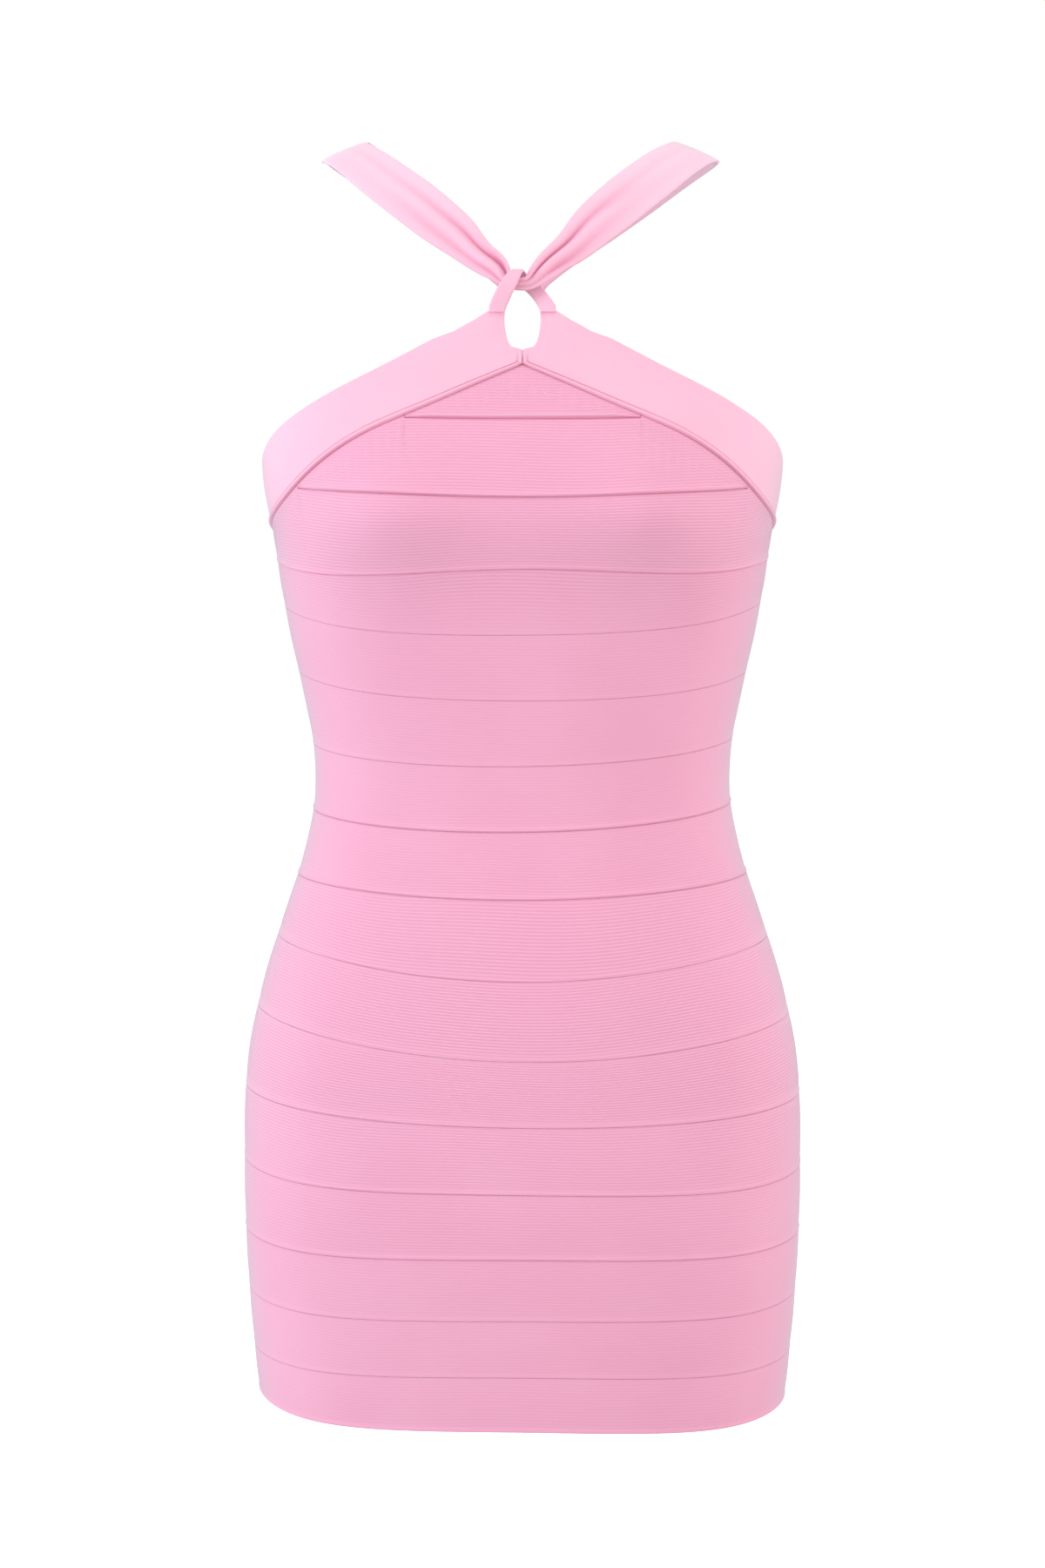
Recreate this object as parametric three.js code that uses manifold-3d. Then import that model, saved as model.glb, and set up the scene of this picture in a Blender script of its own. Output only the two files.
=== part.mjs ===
// A short bodycon dress of bandage knit, kept in the hollow shape that it has when worn.
// Millimetres, +Z up, the front faces -Y, and +X is the right-hand side seen from the front.
// The origin is midway between the two places where the straps cross the shoulders, at the straps' top.
// Angles are in degrees round the body from the centre front, positive towards +X; 180 is the centre back.

import * as THREE from 'three';
import Module from 'manifold-3d';
import { mergeVertices } from 'three/addons/utils/BufferGeometryUtils.js';

const wasm = await Module();
wasm.setup();

// Cloth
const KNIT = 2.0; // wall of a bandage strip and of a strap
const SEAM_GAP = 0.3; // between two pieces at a seam
const CORD_TALL = 1.5; // height of the raised cord along a strip's lower edge
const CORD_RISE = 0.9; // how far that cord stands proud of the strip
const CORD_SHARE = 0.35; // most of a strip's height that the cord takes up where the strip runs out
const MIDWAY = 0.55; // share of the height at which a wall has its middle row of points
const SEAM_DIP = 0.5; // how far a strip's top edge tucks in under the cord above it
const STRIP_END = 1.5; // height of a strip's end where it runs out at the neckband
const BAND_WALL = 2.8; // the neckband is folded double
const BAND_PUFF = 0.5; // extra thickness of the neckband halfway across
const BAND_RIM = 1.2; // how much the neckband's folded top edge rounds in
const LOOP_WALL = 2.4; // the twist loop, folded double too
const STRIP_TALL = 40; // usual height of a strip
const BAND_TALL = 35; // usual height of the neckband
const COLUMN = 10; // degrees between two columns of points round the body

// Centre-back zip
const ZIP_HALF = 3.6; // half the space between the two cloth edges along the zip
const CLOSED_HALF = 0.15; // half the space between them below it
const COIL_HALF = 2.9; // half width of the closed coil
const COIL_UNDER = 0.1; // how far the coil's back lies behind the cloth's inner face
const COIL_RISE = 0.6; // how far it stands proud of the strips
const TAPE_REACH = 14; // from the centre to a tape's far edge
const TAPE_WALL = 1.0;
const TAPE_LIFT = 0.45; // from a tape up to the cloth's inner face
const LAST_ZIP_STRIP = 11; // the zip ends at the lower edge of this strip
// The slider: half widths at its top and bottom, height, thickness, and how far its middle lies below the
// neckband's top edge.
const SLIDER = { top: 4.6, bottom: 3.4, tall: 13, thick: 2.4, drop: 9.5 };
// The bail over the slider: half width, how far it reaches up and down, the height of its outer and inner faces,
// and the thickness of its legs.
const BAIL = { half: 1.0, up: 4.5, down: 3.5, rise: 5.4, inner: 4.6, bar: 1.2 };
// The pull: thickness, half widths at the bar and at the round end, length, and the window for the bail.
const PULL = { thick: 1.2, neck: 3.0, half: 4.2, long: 24, window: 1.6, windowLong: 6 };

// The figure that holds the dress out: rings of the cloth's inner face, from above the neckband to below the
// hem. Each has its half width and how far it reaches in front of and behind the side line.
const FIGURE = [
  { z: -60, half: 146, front: 54, back: 78 },
  { z: -115, half: 154, front: 72, back: 92 },
  { z: -170, half: 161, front: 94, back: 99 },
  { z: -196, half: 161.3, front: 106, back: 100 },
  { z: -240, half: 155.3, front: 116, back: 97.5 },
  { z: -284, half: 148.7, front: 103, back: 91.5 },
  { z: -328, half: 139.9, front: 94, back: 83 },
  { z: -372, half: 130.8, front: 90, back: 75 },
  { z: -405, half: 128.5, front: 89, back: 72 },
  { z: -449, half: 136.1, front: 93.5, back: 80 },
  { z: -493, half: 150.4, front: 100.5, back: 96 },
  { z: -537, half: 163.6, front: 105.5, back: 111.5 },
  { z: -581, half: 171.8, front: 107.5, back: 123 },
  { z: -625, half: 173.8, front: 107, back: 128 },
  { z: -691, half: 172.9, front: 103.5, back: 122 },
  { z: -757, half: 168.2, front: 99, back: 111.5 },
  { z: -810, half: 162.5, front: 96, back: 104.5 },
];
const SQUARE = 0.03; // how far a ring leaves an ellipse towards a rounded rectangle
// Fullness over each side of the bust: its middle, how far it stands out, and how wide and tall it is.
const CUP = { x: 82, z: -238, out: 13, wide: 40, above: 42, below: 30 };

// Lower edge of each strip at the centre front, an eighth round, the side and the centre back.
// Lean is how much higher the edge lies on the right-hand side than midway.
const SEAMS = [
  { front: -181, eighth: -178, side: -172, back: -172, lean: 0 },
  { front: -228, eighth: -223, side: -214, back: -214, lean: 0 },
  { front: -270, eighth: -272.5, side: -262, back: -264, lean: 1 },
  { front: -310, eighth: -304, side: -290, back: -303, lean: 1.5 },
  { front: -350, eighth: -344, side: -332, back: -341, lean: 0 },
  { front: -390, eighth: -384.5, side: -376, back: -382, lean: 2 },
  { front: -430, eighth: -424.5, side: -417, back: -423, lean: 2.2 },
  { front: -471, eighth: -465.5, side: -460, back: -466, lean: 0.5 },
  { front: -520, eighth: -508.5, side: -499, back: -510, lean: -0.5 },
  { front: -568, eighth: -556, side: -545, back: -557, lean: -2.4 },
  { front: -608, eighth: -603, side: -595, back: -604, lean: -2.6 },
  { front: -649, eighth: -648.5, side: -640, back: -648, lean: -2.6 },
  { front: -689, eighth: -690, side: -683, back: -689, lean: -1.2 },
  { front: -727, eighth: -728, side: -721, back: -727, lean: -1 },
  { front: -762, eighth: -764, side: -758, back: -762, lean: -1.6 },
  { front: -796, eighth: -797, side: -788, back: -794, lean: -2.6 },
];

// The neckband from the centre front to the centre back: a point of its lower edge and the point of its top
// edge across from it, each as the angle round the body and the height.
const BAND = [
  { low: 0, lowZ: -147.3, top: 18.2, topZ: -131.5 },
  { low: 9, lowZ: -159.5, top: 23.5, topZ: -139.5 },
  { low: 20, lowZ: -174.3, top: 30.5, topZ: -149.2 },
  { low: 32, lowZ: -188.5, top: 39, topZ: -159.2 },
  { low: 46, lowZ: -207, top: 50.5, topZ: -171.5 },
  { low: 62, lowZ: -226, top: 65, topZ: -185 },
  { low: 78, lowZ: -237, top: 80, topZ: -198 },
  { low: 95, lowZ: -244.5, top: 96, topZ: -208.5 },
  { low: 120, lowZ: -259, top: 120.5, topZ: -224 },
  { low: 150, lowZ: -276, top: 150, topZ: -241.5 },
  { low: 180, lowZ: -290, top: 180, topZ: -255 },
];
// The neckband's end beside the keyhole, from the twist loop down to the centre-front seam: the same two
// points, with the distance from the centre in place of the angle.
const KEYHOLE = [
  { low: 10.7, lowZ: -114.5, top: 21, topZ: -114.5 },
  { low: 10.9, lowZ: -120.5, top: 25, topZ: -117 },
  { low: 10.2, lowZ: -127, top: 29.2, topZ: -119.7 },
  { low: 8.4, lowZ: -133.8, top: 33.4, topZ: -122 },
  { low: 5, lowZ: -138, top: 37.6, topZ: -124.4 },
  { low: 0.15, lowZ: -138.8, top: 42, topZ: -127 },
];

// Straps: the middle of the section, the width, the depth of the gathers' folds, how far the edges curl back,
// and the way that the outer side faces.
const FRONT_STRAP = [
  { x: -112.4, y: 0, z: -8.4, wide: 30, fold: 0.2, curl: 1, fx: -0.4, fy: 0, fz: 0.92 },
  { x: -110.6, y: -7, z: -9.4, wide: 31, fold: 0.2, curl: 1, fx: -0.38, fy: -0.14, fz: 0.9 },
  { x: -104.6, y: -14.5, z: -13.4, wide: 32, fold: 0.3, curl: 1, fx: -0.34, fy: -0.32, fz: 0.86 },
  { x: -94, y: -23.5, z: -21.6, wide: 33, fold: 0.4, curl: 1, fx: -0.28, fy: -0.5, fz: 0.8 },
  { x: -81, y: -34, z: -32.4, wide: 33, fold: 0.5, curl: 1, fx: -0.22, fy: -0.68, fz: 0.68 },
  { x: -67, y: -43, z: -43.6, wide: 32.5, fold: 0.8, curl: 1, fx: -0.18, fy: -0.8, fz: 0.56 },
  { x: -53.5, y: -51, z: -55, wide: 31, fold: 1.2, curl: 1.2, fx: -0.14, fy: -0.88, fz: 0.46 },
  { x: -39.5, y: -58.5, z: -66.8, wide: 27, fold: 1.8, curl: 1.4, fx: -0.1, fy: -0.92, fz: 0.36 },
  { x: -25.5, y: -66, z: -80, wide: 20, fold: 2.6, curl: 1.5, fx: -0.05, fy: -0.96, fz: 0.26 },
  { x: -14.5, y: -71.8, z: -89.4, wide: 15, fold: 3, curl: 1.4, fx: 0, fy: -0.99, fz: 0.14 },
  { x: -9.4, y: -74.4, z: -95.6, wide: 8.8, fold: 2.2, curl: 0.8, fx: 0, fy: -1, fz: 0.05 },
  { x: -3, y: -75.5, z: -97.4, wide: 8, fold: 2, curl: 0.8, fx: 0, fy: -1, fz: 0.05 },
  { x: 2.8, y: -75.4, z: -97.2, wide: 8.4, fold: 2.2, curl: 0.8, fx: 0, fy: -1, fz: 0.05 },
  { x: 9.2, y: -73.8, z: -92.2, wide: 13, fold: 2.8, curl: 1, fx: 0, fy: -0.99, fz: 0.14 },
  { x: 18, y: -69.4, z: -83.4, wide: 17.6, fold: 2.8, curl: 1.5, fx: 0.03, fy: -0.97, fz: 0.2 },
  { x: 29.5, y: -63.5, z: -74.2, wide: 22, fold: 2.4, curl: 1.5, fx: 0.06, fy: -0.95, fz: 0.28 },
  { x: 42.1, y: -56.5, z: -61.4, wide: 28, fold: 1.6, curl: 1.3, fx: 0.1, fy: -0.92, fz: 0.38 },
  { x: 55.2, y: -49, z: -49.2, wide: 31, fold: 1, curl: 1.1, fx: 0.15, fy: -0.87, fz: 0.48 },
  { x: 67.8, y: -41.5, z: -38.2, wide: 32, fold: 0.6, curl: 1, fx: 0.19, fy: -0.8, fz: 0.57 },
  { x: 80, y: -33, z: -28, wide: 32.5, fold: 0.4, curl: 1, fx: 0.23, fy: -0.68, fz: 0.68 },
  { x: 91.5, y: -23.5, z: -18.6, wide: 32.5, fold: 0.3, curl: 1, fx: 0.29, fy: -0.5, fz: 0.8 },
  { x: 101.4, y: -14.5, z: -11.8, wide: 32, fold: 0.2, curl: 1, fx: 0.34, fy: -0.32, fz: 0.86 },
  { x: 107, y: -7, z: -8.6, wide: 31, fold: 0.2, curl: 1, fx: 0.38, fy: -0.14, fz: 0.9 },
  { x: 108.8, y: 0, z: -7.9, wide: 30, fold: 0.2, curl: 1, fx: 0.4, fy: 0, fz: 0.92 },
];
// The right back strap; the left one is its mirror image. Both run in to the centre back and down beside the
// zip.
const BACK_STRAP = [
  { x: 110, y: 0.4, z: -8.4, wide: 30, fold: 0.2, curl: 1, fx: 0.4, fy: 0, fz: 0.92 },
  { x: 108.4, y: 8, z: -9, wide: 31, fold: 0.2, curl: 1, fx: 0.38, fy: 0.14, fz: 0.9 },
  { x: 102.4, y: 18, z: -12.4, wide: 31, fold: 0.2, curl: 1, fx: 0.34, fy: 0.34, fz: 0.86 },
  { x: 91, y: 31, z: -19, wide: 31, fold: 0.2, curl: 1, fx: 0.28, fy: 0.5, fz: 0.8 },
  { x: 75, y: 46, z: -29.5, wide: 30, fold: 0.3, curl: 1, fx: 0.2, fy: 0.7, fz: 0.66 },
  { x: 57.5, y: 60, z: -42, wide: 27, fold: 0.5, curl: 1, fx: 0.14, fy: 0.84, fz: 0.52 },
  { x: 40.5, y: 71.5, z: -56.5, wide: 20, fold: 0.8, curl: 1, fx: 0.08, fy: 0.92, fz: 0.38 },
  { x: 26, y: 79.5, z: -69, wide: 13.5, fold: 1.2, curl: 1, fx: 0.04, fy: 0.96, fz: 0.28 },
  { x: 17, y: 83.4, z: -77.8, wide: 10, fold: 1.3, curl: 0.8, fx: 0, fy: 0.98, fz: 0.2 },
  { x: 12, y: 85.8, z: -83.6, wide: 8.2, fold: 1.3, curl: 0.7, fx: 0, fy: 0.98, fz: 0.18 },
  { x: 10.5, y: 87.4, z: -88, wide: 7.4, fold: 1.3, curl: 0.6, fx: 0, fy: 0.99, fz: 0.17 },
  { x: 12, y: 88.6, z: -92.6, wide: 7.2, fold: 1.3, curl: 0.6, fx: 0, fy: 0.99, fz: 0.16 },
  { x: 15, y: 90, z: -98, wide: 7.6, fold: 1.3, curl: 0.6, fx: 0, fy: 0.99, fz: 0.15 },
  { x: 16.8, y: 91.6, z: -105, wide: 8, fold: 1.3, curl: 0.6, fx: 0, fy: 0.99, fz: 0.13 },
  { x: 17, y: 93.4, z: -115, wide: 8.8, fold: 1.2, curl: 0.6, fx: 0, fy: 0.99, fz: 0.12 },
  { x: 17.2, y: 96.6, z: -138, wide: 12, fold: 0.9, curl: 0.6, fx: 0, fy: 1, fz: 0.08 },
  { x: 18.4, y: 99.4, z: -168, wide: 17, fold: 0.5, curl: 0.4, fx: 0, fy: 1, fz: 0.03 },
  { x: 19.6, y: 100.4, z: -200, wide: 20, fold: 0.3, curl: 0.2, fx: 0, fy: 1, fz: 0 },
  { x: 20.5, y: 99.6, z: -228, wide: 21, fold: 0.2, curl: 0.1, fx: 0, fy: 1, fz: -0.05 },
  { x: 21, y: 98.2, z: -253.6, wide: 21, fold: 0, curl: 0, fx: 0, fy: 1, fz: -0.06 },
];
// The twist loop: up in front of the front strap, over it and down behind it.
const LOOP = [
  { x: -15.7, y: -75.6, z: -113, wide: 10.3, fold: 0, curl: 0, fx: 0, fy: -1, fz: 0.1 },
  { x: -13.8, y: -77.2, z: -108.2, wide: 10.1, fold: 0, curl: 0, fx: 0, fy: -1, fz: 0.1 },
  { x: -11, y: -79, z: -102.5, wide: 9.8, fold: 0, curl: 0, fx: 0, fy: -1, fz: 0.05 },
  { x: -7.8, y: -79.9, z: -97, wide: 9.4, fold: 0, curl: 0, fx: 0, fy: -1, fz: 0.1 },
  { x: -5.5, y: -79.3, z: -93, wide: 8.4, fold: 0, curl: 0, fx: 0, fy: -0.85, fz: 0.5 },
  { x: -3.9, y: -77, z: -90.6, wide: 7.4, fold: 0, curl: 0, fx: 0, fy: -0.4, fz: 0.9 },
  { x: -2.9, y: -74, z: -89.6, wide: 7, fold: 0, curl: 0, fx: 0, fy: 0, fz: 1 },
  { x: -2, y: -70.4, z: -90.4, wide: 7, fold: 0, curl: 0, fx: 0, fy: 0.5, fz: 0.85 },
  { x: -0.6, y: -68.6, z: -93.6, wide: 8, fold: 0, curl: 0, fx: 0, fy: 0.85, fz: 0.5 },
  { x: 3.4, y: -68.2, z: -98.3, wide: 8.4, fold: 0, curl: 0, fx: 0, fy: 1, fz: 0 },
  { x: 8.2, y: -69.4, z: -103.2, wide: 8.8, fold: 0, curl: 0, fx: 0, fy: 1, fz: -0.2 },
  { x: 12.8, y: -72.4, z: -108.8, wide: 9.4, fold: 0, curl: 0, fx: 0, fy: 1, fz: -0.2 },
  { x: 15.8, y: -75.4, z: -113, wide: 10.3, fold: 0, curl: 0, fx: 0, fy: 1, fz: -0.1 },
];
const ACROSS = [-1, -0.76, -0.55, -0.35, -0.15, 0.12, 0.42, 0.72, 1]; // points across a strap, top edge first
const ACROSS_LOOP = [-1, -0.5, 0, 0.5, 1];
// Valleys of the gathers.
const FOLDS = [{ at: -0.35, wide: 0.2, share: 1 }, { at: 0.42, wide: 0.26, share: 0.5 }];

const radians = THREE.MathUtils.degToRad;

// Natural cubic spline through the given points; xs rises.
function spline(xs, ys) {
  const last = xs.length - 1;
  const step = xs.slice(1).map((x, i) => x - xs[i]);
  const slope = step.map((h, i) => (ys[i + 1] - ys[i]) / h);
  const ratio = [0];
  const part = [0];
  for (let i = 1; i < last; i++) {
    const pivot = 2 * (step[i - 1] + step[i]) - step[i - 1] * ratio[i - 1];
    ratio.push(step[i] / pivot);
    part.push((6 * (slope[i] - slope[i - 1]) - step[i - 1] * part[i - 1]) / pivot);
  }
  const bend = new Array(last + 1).fill(0);
  for (let i = last - 1; i > 0; i--) bend[i] = part[i] - ratio[i] * bend[i + 1];
  return (x) => {
    let i = 0;
    while (i < last - 1 && x > xs[i + 1]) i++;
    const h = step[i];
    const a = (xs[i + 1] - x) / h;
    const b = (x - xs[i]) / h;
    const curve = ((a ** 3 - a) * bend[i] + (b ** 3 - b) * bend[i + 1]) * h * h / 6;
    return a * ys[i] + b * ys[i + 1] + curve;
  };
}

// A spline for each named column of a table, along the column or list of numbers that is given first.
function splines(rows, along, names) {
  return Object.fromEntries(names.map((name) => [name, spline(along, rows.map((row) => row[name]))]));
}

const rising = [...FIGURE].reverse();
const figure = splines(rising, rising.map((ring) => ring.z), ['half', 'front', 'back']);

// A point of the cloth's inner face.
function onBody(angle, z) {
  const turn = radians(angle);
  const side = (Math.sin(turn) + SQUARE * Math.sin(3 * turn)) / (1 - SQUARE);
  const ahead = (Math.cos(turn) - SQUARE * Math.cos(3 * turn)) / (1 - SQUARE);
  const x = figure.half(z) * side;
  const tall = z > CUP.z ? CUP.above : CUP.below;
  const bell = (centre) => Math.exp(-(((x - centre) / CUP.wide) ** 2));
  const fullness = CUP.out * Math.exp(-(((z - CUP.z) / tall) ** 2)) * (bell(CUP.x) + bell(-CUP.x));
  const depth = ahead > 0 ? figure.front(z) * ahead + fullness * Math.sqrt(ahead) : figure.back(z) * ahead;
  return new THREE.Vector3(x, -depth, z);
}

// The same point moved out of the body by a distance, square to the cloth.
function offBody(angle, z, out) {
  const round = onBody(angle + 0.05, z).sub(onBody(angle - 0.05, z));
  const up = onBody(angle, z + 0.5).sub(onBody(angle, z - 0.5));
  return onBody(angle, z).addScaledVector(round.cross(up).normalize(), out);
}

// The angle at which the body has the given distance from the centre, on the front.
function angleAt(x, z) {
  let low = 0;
  let high = 60;
  for (let i = 0; i < 30; i++) {
    const middle = (low + high) / 2;
    if (onBody(middle, z).x < x) low = middle;
    else high = middle;
  }
  return (low + high) / 2;
}

// Height of a strip's lower edge all the way round.
const seamCurves = SEAMS.map(({ front, eighth, side, back }) => spline(
  [-90, -45, 0, 45, 90, 180, 270],
  [side, eighth, front, eighth, side, back, side],
));
const seamAt = (strip, angle) => seamCurves[strip - 1](Math.abs(angle))
  + SEAMS[strip - 1].lean * Math.sin(radians(angle));

// The band's curves run on past the centre back to its mirror image, so that they are level there.
const beyond = { ...BAND.at(-2), low: 360 - BAND.at(-2).low, top: 360 - BAND.at(-2).top };
const bandRows = [...BAND, beyond];
const band = splines(bandRows, bandRows.map((row) => row.low), ['lowZ', 'top', 'topZ']);
const underBand = (angle) => band.lowZ(Math.abs(angle)) - SEAM_GAP;

// Closed solid through rings of points. The outline is a ring's flat shape, from which the two ends are filled.
function loft(rings, outline) {
  const count = outline.length;
  const end = (rings.length - 1) * count;
  const index = [];
  for (let ring = 0; ring < rings.length - 1; ring++) {
    for (let k = 0; k < count; k++) {
      const a = ring * count + k;
      const b = ring * count + ((k + 1) % count);
      index.push(a, b, b + count, a, b + count, a + count);
    }
  }
  const flat = outline.map(([x, y]) => new THREE.Vector2(x, y));
  if (THREE.ShapeUtils.area(flat) < 0) throw new Error('an outline runs clockwise');
  for (const [i, j, k] of THREE.ShapeUtils.triangulateShape(flat, [])) {
    index.push(i, k, j, end + i, end + j, end + k);
  }
  return solid(rings.flat().flatMap((p) => p.toArray()), index);
}

// Geometry from flat lists, with its faces turned to point outwards.
function solid(position, index) {
  let volume = 0;
  const corner = (i) => new THREE.Vector3().fromArray(position, 3 * i);
  for (let t = 0; t < index.length; t += 3) {
    const [a, b, c] = [corner(index[t]), corner(index[t + 1]), corner(index[t + 2])];
    volume += a.dot(b.cross(c));
  }
  const geometry = new THREE.BufferGeometry();
  geometry.setAttribute('position', new THREE.Float32BufferAttribute(position, 3));
  geometry.setIndex(volume > 0 ? index : index.reverse());
  return geometry;
}

// Angles from one end of a piece to the other, on the columns that all pieces share.
function columns(from, to, extra = []) {
  const inside = extra.filter((angle) => angle > from && angle < to);
  for (let angle = -180; angle <= 180; angle += COLUMN) {
    if (angle > from + 1 && angle < to - 1) inside.push(angle);
  }
  return [from, ...inside, to].sort((a, b) => a - b);
}

// Section of a strip from its lower edge up the outside and down the inside: share of the height, and distance
// out.
function stripSection(tall) {
  const cord = Math.min(CORD_TALL / tall, CORD_SHARE);
  return [
    [0, KNIT + CORD_RISE * 0.4], [cord * 0.5, KNIT + CORD_RISE], [cord * 1.7, KNIT], [MIDWAY, KNIT],
    [1, KNIT - SEAM_DIP], [1, 0], [MIDWAY, 0], [0, 0],
  ];
}

// The flat shape of such a section, for filling the ends of a wall of the given height.
const flatSection = (section, tall) => section.map(([share, out]) => [out, share * tall]);

// Keeps the ends of a piece at the centre back their distance apart.
function closeBack(point, angle, half) {
  if (Math.abs(angle) === 180) point.x = Math.sign(angle) * half;
  return point;
}

// Where a strip's lower edge comes up to the neckband and the strip ends.
function meetsBand(number, side) {
  let low = 0;
  let high = 180;
  for (let i = 0; i < 30; i++) {
    const middle = (low + high) / 2;
    if (underBand(middle) - seamAt(number, side * middle) > STRIP_END) low = middle;
    else high = middle;
  }
  return side * low;
}

const ENDING_STRIPS = [1, 2, 3]; // both ends of these run out at the neckband
const LAST_UNDER_BAND = 4; // the last strip whose top edge lies along the neckband
const ends = Object.fromEntries(ENDING_STRIPS.map(
  (number) => [number, [meetsBand(number, -1), meetsBand(number, 1)]],
));
const crossings = Object.values(ends).flat();

function stripTop(number, angle) {
  const above = number > 1 ? seamAt(number - 1, angle) - SEAM_GAP : Infinity;
  return number > LAST_UNDER_BAND ? above : Math.min(above, underBand(angle));
}

function strip(number) {
  const [from, to] = ends[number] ?? [-180, 180];
  const half = number <= LAST_ZIP_STRIP ? ZIP_HALF : CLOSED_HALF;
  const rings = columns(from, to, number > LAST_UNDER_BAND ? [] : crossings).map((angle) => {
    const low = seamAt(number, angle);
    const tall = stripTop(number, angle) - low;
    const point = ([share, out]) => offBody(angle, low + share * tall, out);
    return stripSection(tall).map((spot) => closeBack(point(spot), angle, half));
  });
  return loft(rings, flatSection(stripSection(STRIP_TALL), STRIP_TALL));
}

// Section of the neckband from its lower edge up the outside and down the inside: share of the way across, and
// distance out. The lower edge has a raised cord, and the top edge is a fold.
const BAND_SECTION = [
  [0, BAND_WALL - 0.4], [0.025, BAND_WALL + CORD_RISE], [0.075, BAND_WALL + CORD_RISE * 0.7],
  [0.12, BAND_WALL], [MIDWAY, BAND_WALL + BAND_PUFF], [0.94, BAND_WALL], [1, BAND_WALL - BAND_RIM],
  [1, 0], [MIDWAY, 0], [0, 0],
];

function neckband(side) {
  const stations = KEYHOLE.map(({ low, lowZ, top, topZ }) => ({
    low: angleAt(low, lowZ), lowZ, top: angleAt(top, topZ), topZ,
  }));
  for (const angle of columns(0, 180, crossings.map((angle) => side * angle).filter((angle) => angle > 0))) {
    stations.push({ low: angle, lowZ: band.lowZ(angle), top: band.top(angle), topZ: band.topZ(angle) });
  }
  const rings = stations.map(({ low, lowZ, top, topZ }) => BAND_SECTION.map(([share, out]) => {
    const angle = low + share * (top - low);
    const point = offBody(side * angle, lowZ + share * (topZ - lowZ), out);
    if (angle === 0) point.x = side * CLOSED_HALF;
    return closeBack(point, side * angle, ZIP_HALF);
  }));
  return loft(rings, flatSection(BAND_SECTION, BAND_TALL));
}

// A flat strap along a table of its sections, with its gathers' folds pressed into it. Each end is cut flat, on
// the plane where the named axis has the given value.
function strap(rows, across, wall, firstCut, lastCut) {
  const along = [0];
  for (let i = 1; i < rows.length; i++) {
    const step = ['x', 'y', 'z'].map((axis) => rows[i][axis] - rows[i - 1][axis]);
    along.push(along[i - 1] + Math.hypot(...step));
  }
  const at = splines(rows, along, ['x', 'y', 'z', 'wide', 'fold', 'curl', 'fx', 'fy', 'fz']);
  const place = (s) => new THREE.Vector3(at.x(s), at.y(s), at.z(s));
  const rings = along.map((s, i) => {
    const run = place(s + 0.1).sub(place(s - 0.1)).normalize();
    const wide = run.clone().cross(new THREE.Vector3(at.fx(s), at.fy(s), at.fz(s))).normalize();
    const face = wide.clone().cross(run);
    const dip = (u, valley) => valley.share * Math.exp(-(((u - valley.at) / valley.wide) ** 2));
    const folds = (u) => FOLDS.reduce((sum, valley) => sum + dip(u, valley), 0);
    const rise = (u) => -at.fold(s) * folds(u) - at.curl(s) * u * u;
    const half = at.wide(s) / 2;
    const layer = (u, out) => {
      const lean = Math.atan2(rise(u + 0.02) - rise(u - 0.02), 0.04 * half);
      return place(s)
        .addScaledVector(wide, u * half - out * Math.sin(lean))
        .addScaledVector(face, rise(u) + out * Math.cos(lean));
    };
    const back = across.map((u) => layer(u, -wall / 2));
    const ring = [...back, ...across.map((u) => layer(u, wall / 2)).reverse()];
    const cut = { 0: firstCut, [rows.length - 1]: lastCut }[i];
    return cut ? ring.map((point) => Object.assign(point, cut)) : ring;
  });
  const outline = [...across.map((u) => [u, 0]), ...[...across].reverse().map((u) => [u, 1])];
  return loft(rings, outline);
}

const shoulder = (side) => ({ y: side * SEAM_GAP / 2 }); // the seam between a front and a back strap
const loopEnd = { z: LOOP[0].z }; // the seams between the loop and the neckband's two ends
const backEnd = { z: BACK_STRAP.at(-1).z }; // where the back straps meet the neckband
const mirrored = (rows) => rows.map((row) => ({ ...row, x: -row.x, fx: -row.fx }));

// Heights at which a zip's pieces have a ring: those of the neckband and the strips that they lie along.
function zipHeights() {
  const heights = [];
  let top = BAND.at(-1).topZ - 1;
  const strips = SEAMS.slice(LAST_UNDER_BAND - 1, LAST_ZIP_STRIP);
  for (const low of [BAND.at(-1).lowZ, ...strips.map((seam) => seam.back)]) {
    heights.push(top, low + MIDWAY * (top - low));
    top = low - SEAM_GAP;
  }
  heights.push(top + SEAM_GAP);
  return heights;
}

// A point over the flat stretch of cloth between the centre back and the next column of points.
function onBackFlat(x, z, out) {
  const edge = closeBack(offBody(180, z, out), 180, ZIP_HALF);
  const next = offBody(180 - COLUMN, z, out);
  const share = Math.max(0, (Math.abs(x) - edge.x) / (next.x - edge.x));
  const point = edge.clone().lerp(next, share);
  return point.setX(x);
}

function zipTape(side) {
  const reach = [CLOSED_HALF, ZIP_HALF, TAPE_REACH];
  const section = [...reach.map((x) => [x, 0]), ...reach.map((x) => [x, 1]).reverse()];
  const rings = zipHeights().map((z) => section.map(
    ([x, layer]) => onBackFlat(side * x, z, -TAPE_LIFT - TAPE_WALL * (1 - layer))));
  return loft(rings, section);
}

function zipCoil() {
  const section = [[-1, 0], [1, 0], [1, 0.6], [0.6, 1], [-0.6, 1], [-1, 0.6]];
  const face = (z) => (z > BAND.at(-1).lowZ ? BAND_WALL + BAND_PUFF : KNIT + COIL_RISE);
  const rings = zipHeights().map((z) => section.map(
    ([x, layer]) => onBackFlat(x * COIL_HALF, z, layer * (face(z) + COIL_UNDER) - COIL_UNDER)));
  return loft(rings, section);
}

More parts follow.
